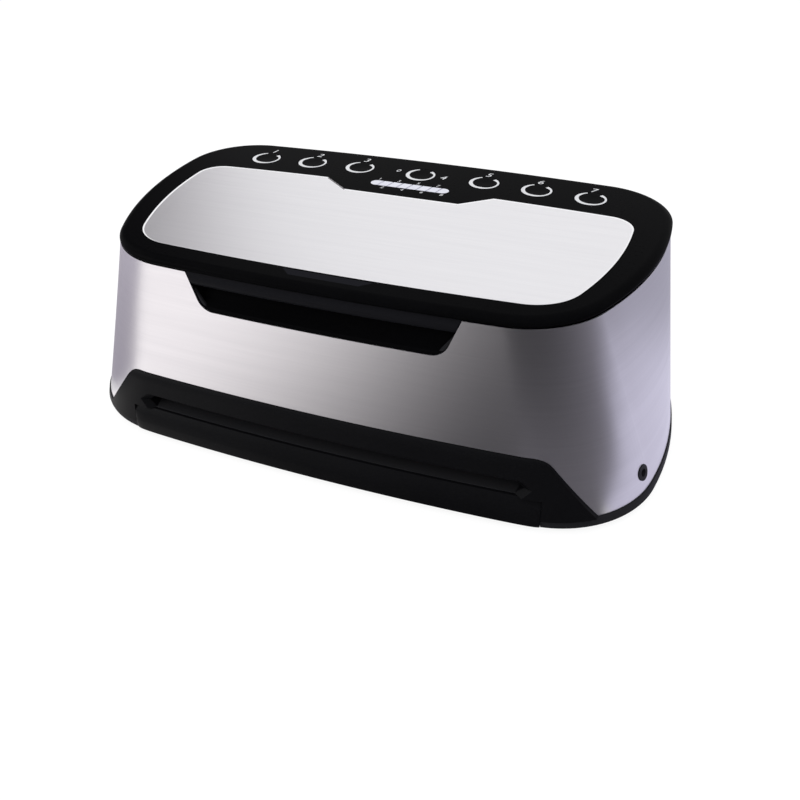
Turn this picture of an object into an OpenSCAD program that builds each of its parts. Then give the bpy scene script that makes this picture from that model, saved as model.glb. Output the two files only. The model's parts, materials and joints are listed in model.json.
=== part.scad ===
// Countertop vacuum sealer: a flared brushed-steel body on a black base, a hinged
// black cover with an inset steel plate and seven keys, and a bag mouth low on the
// front over a pull-out drip tray. Millimetres, +Z up, front toward -Y.
// The origin is the centre of the footprint, at the surface that the feet stand on.

/* [Body] */
// Width across the base
base_w = 480; // [470:1:500]
// Depth over all, from the drip tray's front to the rear of the base
base_d = 274; // [268:1:284]
// Height over all, feet included
total_h = 160; // [156:1:166]
// Lean of the front wall, from the base back to the cover
front_rake = 12.5; // [10:0.5:16]
// Height of the black strip under the steel
strip_h = 10; // [8:0.5:12]
// How far the strip stands out of the steel
strip_out = 1; // [0.5:0.1:2]
// Thickness of the steel shell
shell_t = 1; // [0.8:0.1:1.4]
// Wall of the moulded parts
wall = 2.5; // [2:0.1:3]
// Height of the rubber feet
foot_h = 3; // [2:0.5:4]
// Diameter of the rubber feet
foot_d = 18; // [14:1:22]

/* [Cover] */
// Width of the cover
lid_w = 430; // [424:1:440]
// Depth of the cover
lid_d = 248; // [244:1:252]
// Height of the cover's rim
rim_h = 7; // [6:0.5:9]
// Width of the inset steel plate
plate_w = 380; // [360:1:386]
// Depth of the inset steel plate
plate_d = 164; // [150:1:168]
// Thickness of the inset steel plate
plate_t = 1.2; // [0.8:0.1:1.6]
// Black margin between the plate and the cover's front edge
plate_margin = 20; // [16:1:26]
// How far the cover opens
lid_open = 75; // [60:1:80]

/* [Keys] */
// Diameter of a key
key_d = 27; // [24:0.5:29]
// Depth of the key row behind the cover's front edge
key_row = 213; // [210:1:216]
// Travel of a key
key_travel = 0.8; // [0.5:0.1:1.2]
// Length of the indicator bar
bar_l = 70; // [60:1:76]
// Width of the indicator bar
bar_w = 6.5; // [5:0.5:8]

/* [Grip recess] */
// Width of the recess at its top
grip_w = 208; // [190:1:220]
// Width of the recess at its bottom
grip_low_w = 164; // [150:1:176]
// Height of the recess below the cover's top
grip_h = 36; // [34:1:42]
// Depth of the recess into the body
grip_deep = 16; // [14:1:20]
// Height of the cover's grip lip
lip_h = 11; // [8:1:13]

/* [Front bar and mouth] */
// Height of the black front bar
bar_h = 58; // [54:1:62]
// Width of the front bar along its top edge
bar_top_w = 330; // [320:1:346]
// Width of the front bar where it meets the strip
bar_foot_w = 404; // [396:1:410]
// How far the bar stands out of the steel
bar_out = 3; // [2:0.5:5]
// Width of the bag mouth
mouth_w = 304; // [290:1:310]
// How far the drip tray's front bulges past the bar
belly_out = 1.5; // [0.5:0.5:3]
// Height of the bag mouth's lower lip
mouth_z = 26; // [24:1:28]
// Height of the bag mouth
mouth_h = 11.5; // [10:0.5:13]
// Depth of the throat from the mouth to the jaws
throat = 20; // [18:1:24]

/* [Drip tray] */
// Width of the drip tray's front
tray_w = 330; // [326:1:336]
// Depth of the drip tray's bowl
tray_deep = 76; // [60:1:84]
// Travel of the drip tray
tray_travel = 90; // [60:1:100]

/* [Sealing jaws] */
// Width of the sealing jaws
jaw_w = 316; // [314:1:320]
// Depth of the sealing jaws
jaw_d = 54; // [50:1:58]
// Height of a gasket and of the sealing ridge over the jaw
gasket_h = 4; // [3:0.5:5]
// Width of the heating strip
heat_w = 3; // [2:0.5:5]
// Width of a gasket
gasket_w = 5; // [4:0.5:6]

/* [Bag roll bay] */
// Radius of the roll bay
bay_r = 40; // [34:1:42]
// Length of the roll bay
bay_l = 292; // [286:1:300]

/* [Press drive] */
// Module of the rack and pinion teeth
tooth_m = 1.5; // [1.25:0.25:1.5]
// Number of teeth of a pinion
pinion_n = 14; // [12:1:16]
// Diameter of the pinion shaft
shaft_d = 6; // [5:0.5:7]
// Distance from the centre to each rack
rack_x = 146; // [140:1:148]

/* [Accessory port] */
// Bore of the hose port
port_bore = 6; // [5:0.5:7]
// Diameter of the hose port's collar
port_d = 12; // [11:0.5:14]
// Height of the hose port
port_z = 24; // [22:1:30]
// Place of the hose port behind the front of the base
port_back = 62; // [58:1:76]

/* [Hidden] */
$fn = 48;

eps = 0.01;                       // thickness of a lofted slice
gap = 0.3;                        // running gap between bodies
fit = 0.05;                       // radial clearance of a pin in its bore
belly_z = 13;                     // height of the drip tray's fullest part
// Front of the base: the drip tray's belly reaches half of base_d in front of the origin
front_y = bar_out + belly_out - base_d / 2 - front_rake * belly_z / total_h;
rear_y = base_d / 2 - strip_out;  // rear of the base
lid_front = front_y + front_rake; // front edge of the cover
lid_back = lid_front + lid_d;     // rear edge of the cover
seam_z = total_h - rim_h;         // parting line under the cover
deck_z = seam_z - 7;              // top of the inner deck
grip_lean = (grip_w - grip_low_w) / 2 / (grip_h - rim_h); // slope of the grip recess's sides
bar_lean = (bar_foot_w - bar_top_w) / 2 / (bar_h - strip_h); // slope of the bar's ends
side_r = 290;                     // bow of the side walls
bow_r = 2400;                     // bow of the front and rear walls
arc_n = 10;                       // steps along each arc of an outline

// Outline of the body: [width, front, rear, widest place, front corner, rear corner]
base_form = [base_w, front_y, rear_y, -8, 84, 50];
lid_form = [lid_w, lid_front, lid_back, lid_front + 168, 69, 58];
plate_form = [plate_w, lid_front + plate_margin, lid_front + plate_margin + plate_d,
              lid_front + plate_margin + 133, 39, 21];

// Grown by g all round, with the arcs' centres kept
function grown(f, g) = [f[0] + 2 * g, f[1] - g, f[2] + g, f[3], f[4] + g, f[5] + g];
function form_at(z) = base_form + (lid_form - base_form) * (z / total_h);
// The steel's side, from the front corner to its widest place, and its rear bow
function side_at(y, z) =
    let (f = form_at(z), side_c = [f[0] / 2 - side_r, f[3]],
         near = meet([0, f[1] + bow_r], bow_r - f[4], side_c, side_r - f[4], 1),
         joint = side_c[1] + side_r * sin(turn(near - side_c)))
    y < joint ? near[0] + sqrt(f[4] * f[4] - (y - near[1]) * (y - near[1]))
              : side_c[0] + sqrt(side_r * side_r - (y - f[3]) * (y - f[3]));
function rear_at(x, z) = let (f = form_at(z)) f[2] - bow_r + sqrt(bow_r * bow_r - x * x);

// The point at distances ra and rb from two centres, on the chosen side
function meet(a, ra, b, rb, side) =
    let (d = norm(b - a), u = (b - a) / d, t = (d * d + ra * ra - rb * rb) / (2 * d),
         h = sqrt(ra * ra - t * t))
    a + t * u + side * h * [-u[1], u[0]];
function turn(v) = atan2(v[1], v[0]);
function arc(c, r, a0, a1, n = arc_n) =
    [for (i = [0:n - 1]) let (a = a0 + (a1 - a0) * i / n) c + r * [cos(a), sin(a)]];

// Right half from the front to the rear: front bow, corner, side, corner, rear bow
function half_outline(f, g) =
    let (rs = side_r + g, rb = bow_r + g,
         side_c = [f[0] / 2 - rs, f[3]],
         front_c = [0, f[1] + rb], rear_c = [0, f[2] - rb],
         near = meet(front_c, rb - f[4], side_c, rs - f[4], 1),
         far = meet(rear_c, rb - f[5], side_c, rs - f[5], -1))
    concat(arc(front_c, rb, -90, turn(near - front_c)),
           arc(near, f[4], turn(near - front_c), turn(near - side_c)),
           arc(side_c, rs, turn(near - side_c), 0, arc_n / 2),
           arc(side_c, rs, 0, turn(far - side_c), arc_n / 2),
           arc(far, f[5], turn(far - side_c), turn(far - rear_c)),
           arc(rear_c, rb, turn(far - rear_c), 90));
function outline(form, g = 0) =
    let (half = half_outline(grown(form, g), g), n = len(half))
    concat(half, [for (i = [n - 1:-1:1]) [-half[i][0], half[i][1]]]);

// The wall is ruled from the base outline to the cover's, so every loft at any height lies on it
function ring_at(z, g) =
    let (low = outline(base_form, g), high = outline(lid_form, g))
    [for (i = [0:len(low) - 1]) low[i] + (high[i] - low[i]) * (z / total_h)];
// A slice of the body at height z, and the body between two heights
module slice(z, g) linear_extrude(eps) polygon(ring_at(z, g));
module body_loft(z0, z1, g0 = 0, g1 = 0)
    hull() {
        translate([0, 0, z0]) slice(z0, g0);
        translate([0, 0, z1 - eps]) slice(z1, g1);
    }
// An upright plate of the form's outline
module form_plate(form, z0, z1, g = 0)
    translate([0, 0, z0]) linear_extrude(z1 - z0) polygon(outline(form, g));
module block(x0, x1, y0, y1, z0, z1) translate([x0, y0, z0]) cube([x1 - x0, y1 - y0, z1 - z0]);
module mid_block(w, y0, y1, z0, z1) block(-w / 2, w / 2, y0, y1, z0, z1);
module rod_x(d, x0, x1, y, z) translate([x0, y, z]) rotate([0, 90, 0]) cylinder(h = x1 - x0, d = d);
module rod_y(d, y0, y1, x, z) translate([x, y1, z]) rotate([90, 0, 0]) cylinder(h = y1 - y0, d = d);
module rod_z(d, z0, z1, x, y) translate([x, y, z0]) cylinder(h = z1 - z0, d = d);
module both_sides() for (s = [0, 1]) mirror([s, 0, 0]) children();
// A front-view outline pushed back through the body
module from_front(y0, y1) translate([0, y1, 0]) rotate([90, 0, 0]) linear_extrude(y1 - y0) children();
// An end-view outline (y, z) stretched along x
module along_x(w) translate([-w / 2, 0, 0]) rotate([90, 0, 90]) linear_extrude(w) children();

// Front-view outlines
module grip_outline(g = 0)
    offset(delta = g) offset(r = 14) offset(delta = -14)
        polygon([[-grip_low_w / 2, total_h - grip_h], [grip_low_w / 2, total_h - grip_h],
                 [grip_w / 2 + 40 * grip_lean, seam_z + 40], [-grip_w / 2 - 40 * grip_lean, seam_z + 40]]);
module bar_outline(g = 0)
    intersection() {
        offset(delta = g) offset(r = 18) offset(delta = -18)
            polygon([[-bar_foot_w / 2 - bar_lean * 60, strip_h - 60],
                     [bar_foot_w / 2 + bar_lean * 60, strip_h - 60],
                     [bar_top_w / 2, bar_h], [-bar_top_w / 2, bar_h]]);
        translate([-base_w, strip_h - 5]) square([2 * base_w, bar_h]);
    }

// ---- Base ----
pan_floor = foot_h + wall;
screw_x = base_w / 2 - 52;
screw_y = base_d / 2 - 42;
screw_rows = [10 - screw_y, screw_y];
tray_y0 = front_y - bar_out + 6;
tray_back = tray_y0 + wall + tray_deep + wall;
tray_z0 = pan_floor + gap + 0.4;
tray_z1 = mouth_z - 4.5;
bowl_w = mouth_w - 4;

module base_pan() color("#262628")
    difference() {
        union() {
            difference() {
                body_loft(foot_h, strip_h, strip_out, strip_out);
                body_loft(pan_floor, strip_h + 1, -wall, -wall);
            }
            difference() {
                body_loft(strip_h - wall, strip_h + 14, -shell_t - gap, -shell_t - gap);
                body_loft(strip_h - wall - 1, strip_h + 15, -shell_t - wall, -shell_t - wall);
            }
            both_sides() for (y = screw_rows) rod_z(12, pan_floor - 1, strip_h + 14, screw_x, y);
            both_sides() block(bowl_w / 2 + gap, bowl_w / 2 + gap + wall, front_y + 12, tray_back + 6,
                               pan_floor - 0.5, jaw_z);
            mid_block(bowl_w, tray_back + 3, tray_back + 3 + wall, pan_floor - 0.5, jaw_z - 1);
        }
        both_sides() for (y = screw_rows) {
            rod_z(3.4, foot_h - 1, strip_h + 16, screw_x, y);
            rod_z(7, foot_h - 1, foot_h + 1.5, screw_x, y);
        }
        mid_block(tray_w + 2 * gap, front_y - 20, front_y + 22, -1, bar_h);
        from_front(front_y - 20, front_y + 42) intersection() {
            bar_outline(0.4);
            translate([-base_w, strip_h]) square([2 * base_w, bar_h]);
        }
        rod_x(port_d + 6 + 2 * gap, port_x - 30, base_w / 2, port_y, port_z);
        rod_y(gland_d + 6 + 2 * gap, gland_y - 30, base_d / 2, gland_x, gland_z);
        for (i = [0:7]) block(-90 + i * 24, -78 + i * 24, rear_y - 66, rear_y - 26, foot_h - 1, pan_floor + 1);
    }

module steel_shell() color("#c9c8cc")
    difference() {
        body_loft(strip_h, seam_z - gap);
        body_loft(strip_h - 1, seam_z + 1, -shell_t, -shell_t);
        from_front(front_y - 20, 0) bar_outline(0.1);
        from_front(front_y - 20, 0) grip_outline();
        both_sides() block(hinge_x - hinge_w / 2 - gap, hinge_x + hinge_w / 2 + gap,
                           lid_back - 20, lid_back + 20, hinge_z - 9, seam_z + 1);
        rod_x(port_d + 0.1, 0, base_w, port_y, port_z);
        rod_y(gland_d + 0.1, 0, base_d, gland_x, gland_z);
    }

// Front-view outline of the bag mouth, drawn in to a point at each end
module mouth_outline()
    polygon([[-mouth_w / 2, mouth_z + mouth_h / 2], [-mouth_w / 2 + 7, mouth_z],
             [mouth_w / 2 - 7, mouth_z], [mouth_w / 2, mouth_z + mouth_h / 2],
             [mouth_w / 2 - 7, mouth_z + mouth_h], [-mouth_w / 2 + 7, mouth_z + mouth_h]]);
// Black bar along the front: a brow over the bag mouth, the throat and two end caps
module mouth_bezel() color("#0c0c0e")
    difference() {
        union() {
            difference() {
                intersection() {
                    body_loft(strip_h, bar_h, bar_out, bar_out - 1.5);
                    from_front(front_y - 30, 0) intersection() {
                        bar_outline();
                        translate([-base_w, strip_h]) square([2 * base_w, bar_h]);
                    }
                }
                body_loft(strip_h - 2, bar_h + 2, -2 * wall, -2 * wall);
            }
            intersection() {
                mid_block(mouth_w + 2 * wall, front_y, jaw_y0 - gap, mouth_z + gap, mouth_z + mouth_h + 1.2);
                body_loft(strip_h, bar_h, 0, 0);
            }
        }
        from_front(front_y - 30, 0) mouth_outline();
        mid_block(tray_w + 2 * gap, front_y - 30, 0, -1, mouth_z + gap);
    }

// Concave pocket behind the cut-out, for the fingers that lift the cover
pocket_y = lid_front + grip_deep;
module grip_pocket() color("#08080a")
    difference() {
        intersection() {
            from_front(lid_front - 30, pocket_y + wall) grip_outline(3);
            body_loft(seam_z - grip_h, deck_z, -shell_t - 0.1, -shell_t - 0.1);
        }
        // scooped front face
        intersection() {
            from_front(lid_front - 40, pocket_y) grip_outline(-0.4);
            along_x(grip_w + 20) union() {
                translate([pocket_y - 24, total_h - grip_h + 26]) circle(r = 24, $fn = 96);
                translate([lid_front - 40, total_h - grip_h + 12]) square([pocket_y - 24 - lid_front + 40, 60]);
                translate([pocket_y - 24, total_h - grip_h + 26]) square([24, 60]);
            }
        }
    }

// ---- Inner deck and roll bay ----
bay_y = lid_front + 132;
bay_z = deck_z - 3;
rail_y = bay_y - bay_r - 20;
module inner_deck() color("#2b2b2e")
    difference() {
        union() {
            body_loft(deck_z - 3, deck_z, -shell_t - 2 * gap, -shell_t - 2 * gap);
            difference() {
                body_loft(deck_z - 22, deck_z - 1, -shell_t - 2 * gap, -shell_t - 2 * gap);
                body_loft(deck_z - 23, deck_z, -shell_t - wall, -shell_t - wall);
            }
        }
        mid_block(bay_l, bay_y - bay_r, bay_y + bay_r, deck_z - 30, deck_z + 1);
        from_front(lid_front - 40, pocket_y + wall + gap) grip_outline(3.3);
        both_sides() block(hinge_x - hinge_w / 2 - gap, hinge_x + hinge_w / 2 + gap,
                           lid_back - 26, lid_back + 20, deck_z - 30, deck_z + 1);
    }

module roll_cradle() color("#e8e8ea")
    difference() {
        intersection() {
            rod_x(2 * bay_r + 2 * wall, -bay_l / 2 - wall, bay_l / 2 + wall, bay_y, bay_z);
            mid_block(bay_l + 4 * wall, bay_y - 90, bay_y + 90, bay_z - bay_r - 9, deck_z - 3);
        }
        rod_x(2 * bay_r, -bay_l / 2, bay_l / 2, bay_y, bay_z);
    }

module cutter_rail() color("#d8d8dc")
    difference() {
        mid_block(bay_l + 20, rail_y - 8, rail_y + 8, deck_z, deck_z + 2.4);
        mid_block(bay_l, rail_y - 3.2, rail_y + 3.2, deck_z - 1, deck_z + 3);
    }
carriage_l = 16;
module cutter_carriage() color("#101012")
    difference() {
        union() {
            mid_block(carriage_l, rail_y - 2.9, rail_y + 2.9, deck_z + gap, deck_z + 2.4 + gap);
            mid_block(carriage_l, rail_y - 6, rail_y + 6, deck_z + 2.4 + gap, deck_z + 3.4);
        }
        mid_block(8, rail_y - 0.4, rail_y + 0.4, deck_z, deck_z + 5);
    }
module cutter_blade() color("#b8bcc2")
    translate([0, rail_y + 0.25, deck_z + gap]) rotate([90, 0, 0]) linear_extrude(0.5)
        polygon([[-4, 0], [4, 0], [4, 2], [0, 3], [-4, 2]]);

// ---- Jaws ----
jaw_y0 = front_y + throat;
jaw_y1 = jaw_y0 + jaw_d;
jaw_z = mouth_z - 4;
jaw_top = mouth_z - 1;
trough_y0 = jaw_y0 + 18;
trough_y1 = jaw_y1 - 10;
trough_w = bowl_w - 28;
heat_y = jaw_y0 + 6;
tape_t = 0.2;
module lower_jaw() color("#1a1a1c")
    difference() {
        union() {
            mid_block(jaw_w, jaw_y0, jaw_y1, jaw_z, jaw_top);
            mid_block(jaw_w - 20, heat_y - 4, heat_y + 4, jaw_z, jaw_top + gasket_h - tape_t);
            // wall behind the jaws, between the racks
            mid_block(2 * rack_x - 22, jaw_y1 - 1, jaw_y1 + 2.6, jaw_z, jaw_top);
            mid_block(2 * rack_x - 22, jaw_y1 + 0.6, jaw_y1 + 2.6, jaw_z, press_z + press_h - 2);
            // apron that leads the bag in from the mouth
            intersection() {
                mid_block(jaw_w, front_y, jaw_y0 + 1, jaw_z, jaw_top);
                body_loft(jaw_z - 1, jaw_top + 1, -6, -6);
            }
        }
        mid_block(trough_w - 2, trough_y0, trough_y1, jaw_z - 1, jaw_top + 1);
        mid_block(jaw_w - 30, heat_y - heat_w / 2, heat_y + heat_w / 2,
                  jaw_top + gasket_h - tape_t - 1, jaw_top + gasket_h);
    }
// Closed rubber ring round the trough
module ring_x(z0, z1)
    difference() {
        mid_block(trough_w + 2 * gasket_w, trough_y0 - 1 - gasket_w, trough_y1 + 1 + gasket_w, z0, z1);
        mid_block(trough_w, trough_y0 - 1, trough_y1 + 1, z0 - 1, z1 + 1);
    }
module lower_gasket() color("#5a5a5e") ring_x(jaw_top, jaw_top + gasket_h);
module seal_element() color("#c8ccd0")
    mid_block(jaw_w - 30, heat_y - heat_w / 2, heat_y + heat_w / 2,
              jaw_top + gasket_h - tape_t - 1, jaw_top + gasket_h - tape_t);
module ptfe_tape() color("#b79a6a")
    mid_block(jaw_w - 24, heat_y - 3.5, heat_y + 3.5, jaw_top + gasket_h - tape_t, jaw_top + gasket_h);

press_z = mouth_z + mouth_h + 1.5;
press_h = 14;
pad_h = 3;
module press_beam() color("#e6e6e6")
    difference() {
        union() {
            mid_block(jaw_w, jaw_y0, jaw_y1, press_z, press_z + press_h);
            both_sides() block(rack_x - 6, rack_x + 6, jaw_y1 - 8, rack_y, press_z, press_z + 44);
            both_sides() rack();
        }
        mid_block(jaw_w - 2 * wall, jaw_y0 + wall, jaw_y1 - 8 - wall, press_z + 3, press_z + press_h + 1);
        mid_block(trough_w - 2, trough_y0, trough_y1, press_z - 1, press_z + 1.5);
    }
module upper_gasket() color("#5a5a5e") ring_x(press_z - pad_h, press_z);
module pressure_strip() color("#7a2f2a") mid_block(jaw_w - 24, heat_y - 3.5, heat_y + 3.5, press_z - pad_h, press_z);

// ---- Rack and pinion press drive ----
pitch_r = tooth_m * pinion_n / 2;
rack_y = jaw_y1;
shaft_y = rack_y + 1.25 * tooth_m + pitch_r;
shaft_z = press_z + 26;
slack = 0.45;
// One tooth of the rack, straight flanks at 20 degrees, pointing toward +y
module rack()
    for (i = [-3:2])
        translate([rack_x - 6, rack_y, shaft_z + (i + 0.5) * PI * tooth_m]) rotate([90, 0, 90]) linear_extrude(12)
            polygon([[-0.5, -PI * tooth_m / 4 - 0.45 * tooth_m + slack / 2],
                     [2.25 * tooth_m - 0.25, -PI * tooth_m / 4 + 0.36 * tooth_m + slack / 2],
                     [2.25 * tooth_m - 0.25, PI * tooth_m / 4 - 0.36 * tooth_m - slack / 2],
                     [-0.5, PI * tooth_m / 4 + 0.45 * tooth_m - slack / 2]]);
// Involute flank of a gear with base radius rb, at radius r
function inv_at(rb, r) = let (a = acos(rb / r)) tan(a) * 180 / PI - a;
module pinion(n, m, h)
    let (rp = m * n / 2, rb = rp * cos(20), ra = rp + m, rf = rp - 1.25 * m,
         half = 90 / n + inv_at(rb, rp) - slack * 90 / (PI * rp),
         rs = [for (i = [0:6]) max(rb, rf) + (ra - max(rb, rf)) * i / 6])
    linear_extrude(h) {
        circle(r = rf + 0.05, $fn = 64);
        for (k = [0:n - 1]) rotate(k * 360 / n)
            polygon(concat(
                [rf * 0.9 * [cos(-half), sin(-half)]],
                [for (r = rs) r * [cos(inv_at(rb, r) - half), sin(inv_at(rb, r) - half)]],
                [for (i = [6:-1:0]) rs[i] * [cos(half - inv_at(rb, rs[i])), sin(half - inv_at(rb, rs[i]))]],
                [rf * 0.9 * [cos(half), sin(half)]]));
    }
motor_x = 96;
module lift_shaft() color("#b0b4b8")
    union() {
        rod_x(shaft_d, -rack_x - 22, rack_x + 22, shaft_y, shaft_z);
        both_sides() translate([rack_x - 5, shaft_y, shaft_z]) rotate([90, 0, 90])
            rotate(180) pinion(pinion_n, tooth_m, 10);
    }
module bearing_blocks() color("#d0a040")
    both_sides() difference() {
        block(rack_x + 10, rack_x + 18, shaft_y - 9, shaft_y + 9, pan_floor, shaft_z + 9);
        rod_x(shaft_d + 2 * fit, rack_x, rack_x + 30, shaft_y, shaft_z);
    }
module clamp_motor() color("#9a9ea4")
    difference() {
        union() {
            block(motor_x - 12, motor_x + 12, shaft_y - 9, shaft_y + 14, shaft_z - 14, shaft_z + 14);
            rod_y(22, shaft_y + 13, shaft_y + 52, motor_x, shaft_z);
            block(motor_x - 9, motor_x + 9, shaft_y + 5, shaft_y + 12, pan_floor, shaft_z - 12);
        }
        rod_x(shaft_d + 2 * fit, motor_x - 20, motor_x + 20, shaft_y, shaft_z);
    }

// ---- Drip tray ----
module drip_tray() color("#0c0c0e")
    union() {
        // front below the mouth: a ramp that bulges out of the bar, then turns under
        intersection() {
            difference() {
                union() {
                    body_loft(belly_z, mouth_z - gap, bar_out + belly_out, bar_out - 3);
                    body_loft(foot_h + 0.6, belly_z, bar_out, bar_out + belly_out);
                }
                body_loft(foot_h - 1, mouth_z + 1, -4, -4);
            }
            mid_block(tray_w, front_y - 30, front_y + 40, 0, mouth_z);
        }
        difference() {
            intersection() {
                mid_block(bowl_w, front_y - 5, tray_back, tray_z0, tray_z1);
                body_loft(tray_z0 - 1, tray_z1 + 1, -1, -1);
            }
            intersection() {
                mid_block(bowl_w - 2 * wall, front_y - 5, tray_back - wall, tray_z0 + 2, tray_z1 + 1);
                body_loft(tray_z0 - 1, tray_z1 + 2, -4, -4);
            }
        }
    }

// ---- Pump, electrics ----
gland_x = base_w / 2 - 90;
gland_z = 24;
gland_d = 12;
gland_y = rear_at(gland_x, gland_z);
pump_x = -96;
pump_y = rear_y - 44;
pump_top = 84;
sensor_x = 60;
module pump_motor() color("#8a8e94")
    union() {
        rod_x(36, pump_x - 40, pump_x + 22, pump_y, 42);
        rod_x(10, pump_x + 22, pump_x + 26, pump_y, 42);
        block(pump_x - 34, pump_x + 16, pump_y - 12, pump_y + 12, pan_floor, 28);
    }
module pump_head() color("#3a3a3e")
    union() {
        block(pump_x + 26, pump_x + 56, pump_y - 20, pump_y + 20, pan_floor, 62);
        rod_z(26, 62, 74, pump_x + 41, pump_y);
        rod_z(7, 74, pump_top, pump_x + 41, pump_y);
    }
// Between the right-hand screw bosses and ahead of the cord gland
coil_x = screw_x - 54;
coil_y = gland_y - 48;
hose_d = 8;
elbow_w = hose_d + 3;             // square fittings at the hoses' bends
hose_x = jaw_w / 2 + 14;
hose_y = coil_y - 42;
// Hose from the pump to the sensor block
module vacuum_hose() color("#d8d4c8")
    union() {
        rod_z(hose_d, pump_top, pump_top + 10, pump_x + 41, pump_y);
        hose_elbow(pump_x + 41, pump_y, pump_top + 10);
        rod_x(hose_d, pump_x + 41, sensor_x, pump_y, pump_top + 10);
        hose_elbow(sensor_x, pump_y, pump_top + 10);
        rod_z(hose_d, pan_floor + 24, pump_top + 10, sensor_x, pump_y);
    }
module hose_elbow(x, y, z) translate([x, y, z]) cube(elbow_w, center = true);
// Hose from the sensor block to the accessory port
module port_hose() color("#d8d4c8")
    union() {
        rod_x(hose_d, hose_x, port_x - 22, port_y, port_z);
        hose_elbow(hose_x, port_y, port_z);
        rod_y(hose_d, port_y, hose_y, hose_x, port_z);
        hose_elbow(hose_x, hose_y, port_z);
        rod_x(hose_d, sensor_x, hose_x, hose_y, port_z);
        hose_elbow(sensor_x, hose_y, port_z);
        rod_y(hose_d, hose_y, pump_y - 12, sensor_x, port_z);
    }
module vacuum_sensor() color("#1f4f8f")
    block(sensor_x - 12, sensor_x + 12, pump_y - 12, pump_y + 12, pan_floor, pan_floor + 24);
module transformer() color("#6a6258")
    union() {
        block(coil_x - 30, coil_x + 30, coil_y - 24, coil_y + 24, pan_floor, pan_floor + 44);
        block(coil_x - 22, coil_x + 22, coil_y - 30, coil_y + 30, pan_floor + 10, pan_floor + 34);
    }
board_x = 64 - base_w / 2;
board_rear = rear_y - 56;
module main_board() color("#1d5a34")
    union() {
        block(board_x - 34, board_x + 20, board_rear - 90, board_rear, pan_floor + 6, pan_floor + 7.6);
        for (y = [-80, -10]) for (x = [-26, 12])
            rod_z(6, pan_floor, pan_floor + 6, board_x + x, board_rear + y);
        block(board_x - 24, board_x - 4, board_rear - 70, board_rear - 46, pan_floor + 7.6, pan_floor + 20);
        for (i = [0:2]) rod_z(9, pan_floor + 7.6, pan_floor + 22, board_x + 8, board_rear - 68 + i * 16);
    }

// ---- Port, gland, feet, screws ----
port_y = front_y + port_back;
port_x = side_at(port_y, port_z);
module accessory_port() color("#17171a")
    difference() {
        union() {
            rod_x(port_d, port_x - 22, port_x + 1.5, port_y, port_z);
            rod_x(port_d + 6, port_x - 22, port_x - 12, port_y, port_z);
        }
        rod_x(port_bore, port_x - 12, port_x + 20, port_y, port_z);
        rod_x(port_bore - 3, port_x - 30, port_x, port_y, port_z);
    }
module cord_gland() color("#17171a")
    difference() {
        union() {
            rod_y(gland_d, gland_y - 14, gland_y + 2.5, gland_x, gland_z);
            rod_y(gland_d + 6, gland_y - 14, gland_y - 3, gland_x, gland_z);
        }
        rod_y(6.5, gland_y - 20, gland_y + 10, gland_x, gland_z);
    }
module feet() color("#1c1c1e")
    both_sides() for (y = [-1, 1]) rod_z(foot_d, 0, foot_h, screw_x - 26, y * screw_y);
module base_screws() color("#a8a8ac")
    both_sides() for (y = [-screw_y + 10, screw_y])
        union() {
            rod_z(6.4, foot_h, foot_h + 1.5, screw_x, y);
            rod_z(3.2, foot_h + 1.5, strip_h + 13, screw_x, y);
        }

// ---- Hinge ----
hinge_x = lid_w / 2 - 75;
hinge_w = 40;
hinge_y = lid_back + 0.5;
hinge_z = seam_z - 5;
hinge_r = 4.5;
hinge_pin = 3;
lug_w = 16;
module hinge_brackets() color("#141416")
    both_sides() difference() {
        union() {
            block(hinge_x - hinge_w / 2, hinge_x + hinge_w / 2, lid_back - 22, hinge_y, hinge_z - 8, hinge_z + 4);
            rod_x(2 * hinge_r, hinge_x - hinge_w / 2, hinge_x + hinge_w / 2, hinge_y, hinge_z);
        }
        block(hinge_x - lug_w / 2 - gap, hinge_x + lug_w / 2 + gap, lid_back - 12, hinge_y + 10,
              hinge_z - hinge_r - 1, hinge_z + 10);
        rod_x(hinge_pin, hinge_x - 30, hinge_x + 30, hinge_y, hinge_z);
    }
module hinge_pins() color("#c0c4c8")
    both_sides() rod_x(hinge_pin, hinge_x - hinge_w / 2 + 1, hinge_x + hinge_w / 2 - 1, hinge_y, hinge_z);

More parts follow.
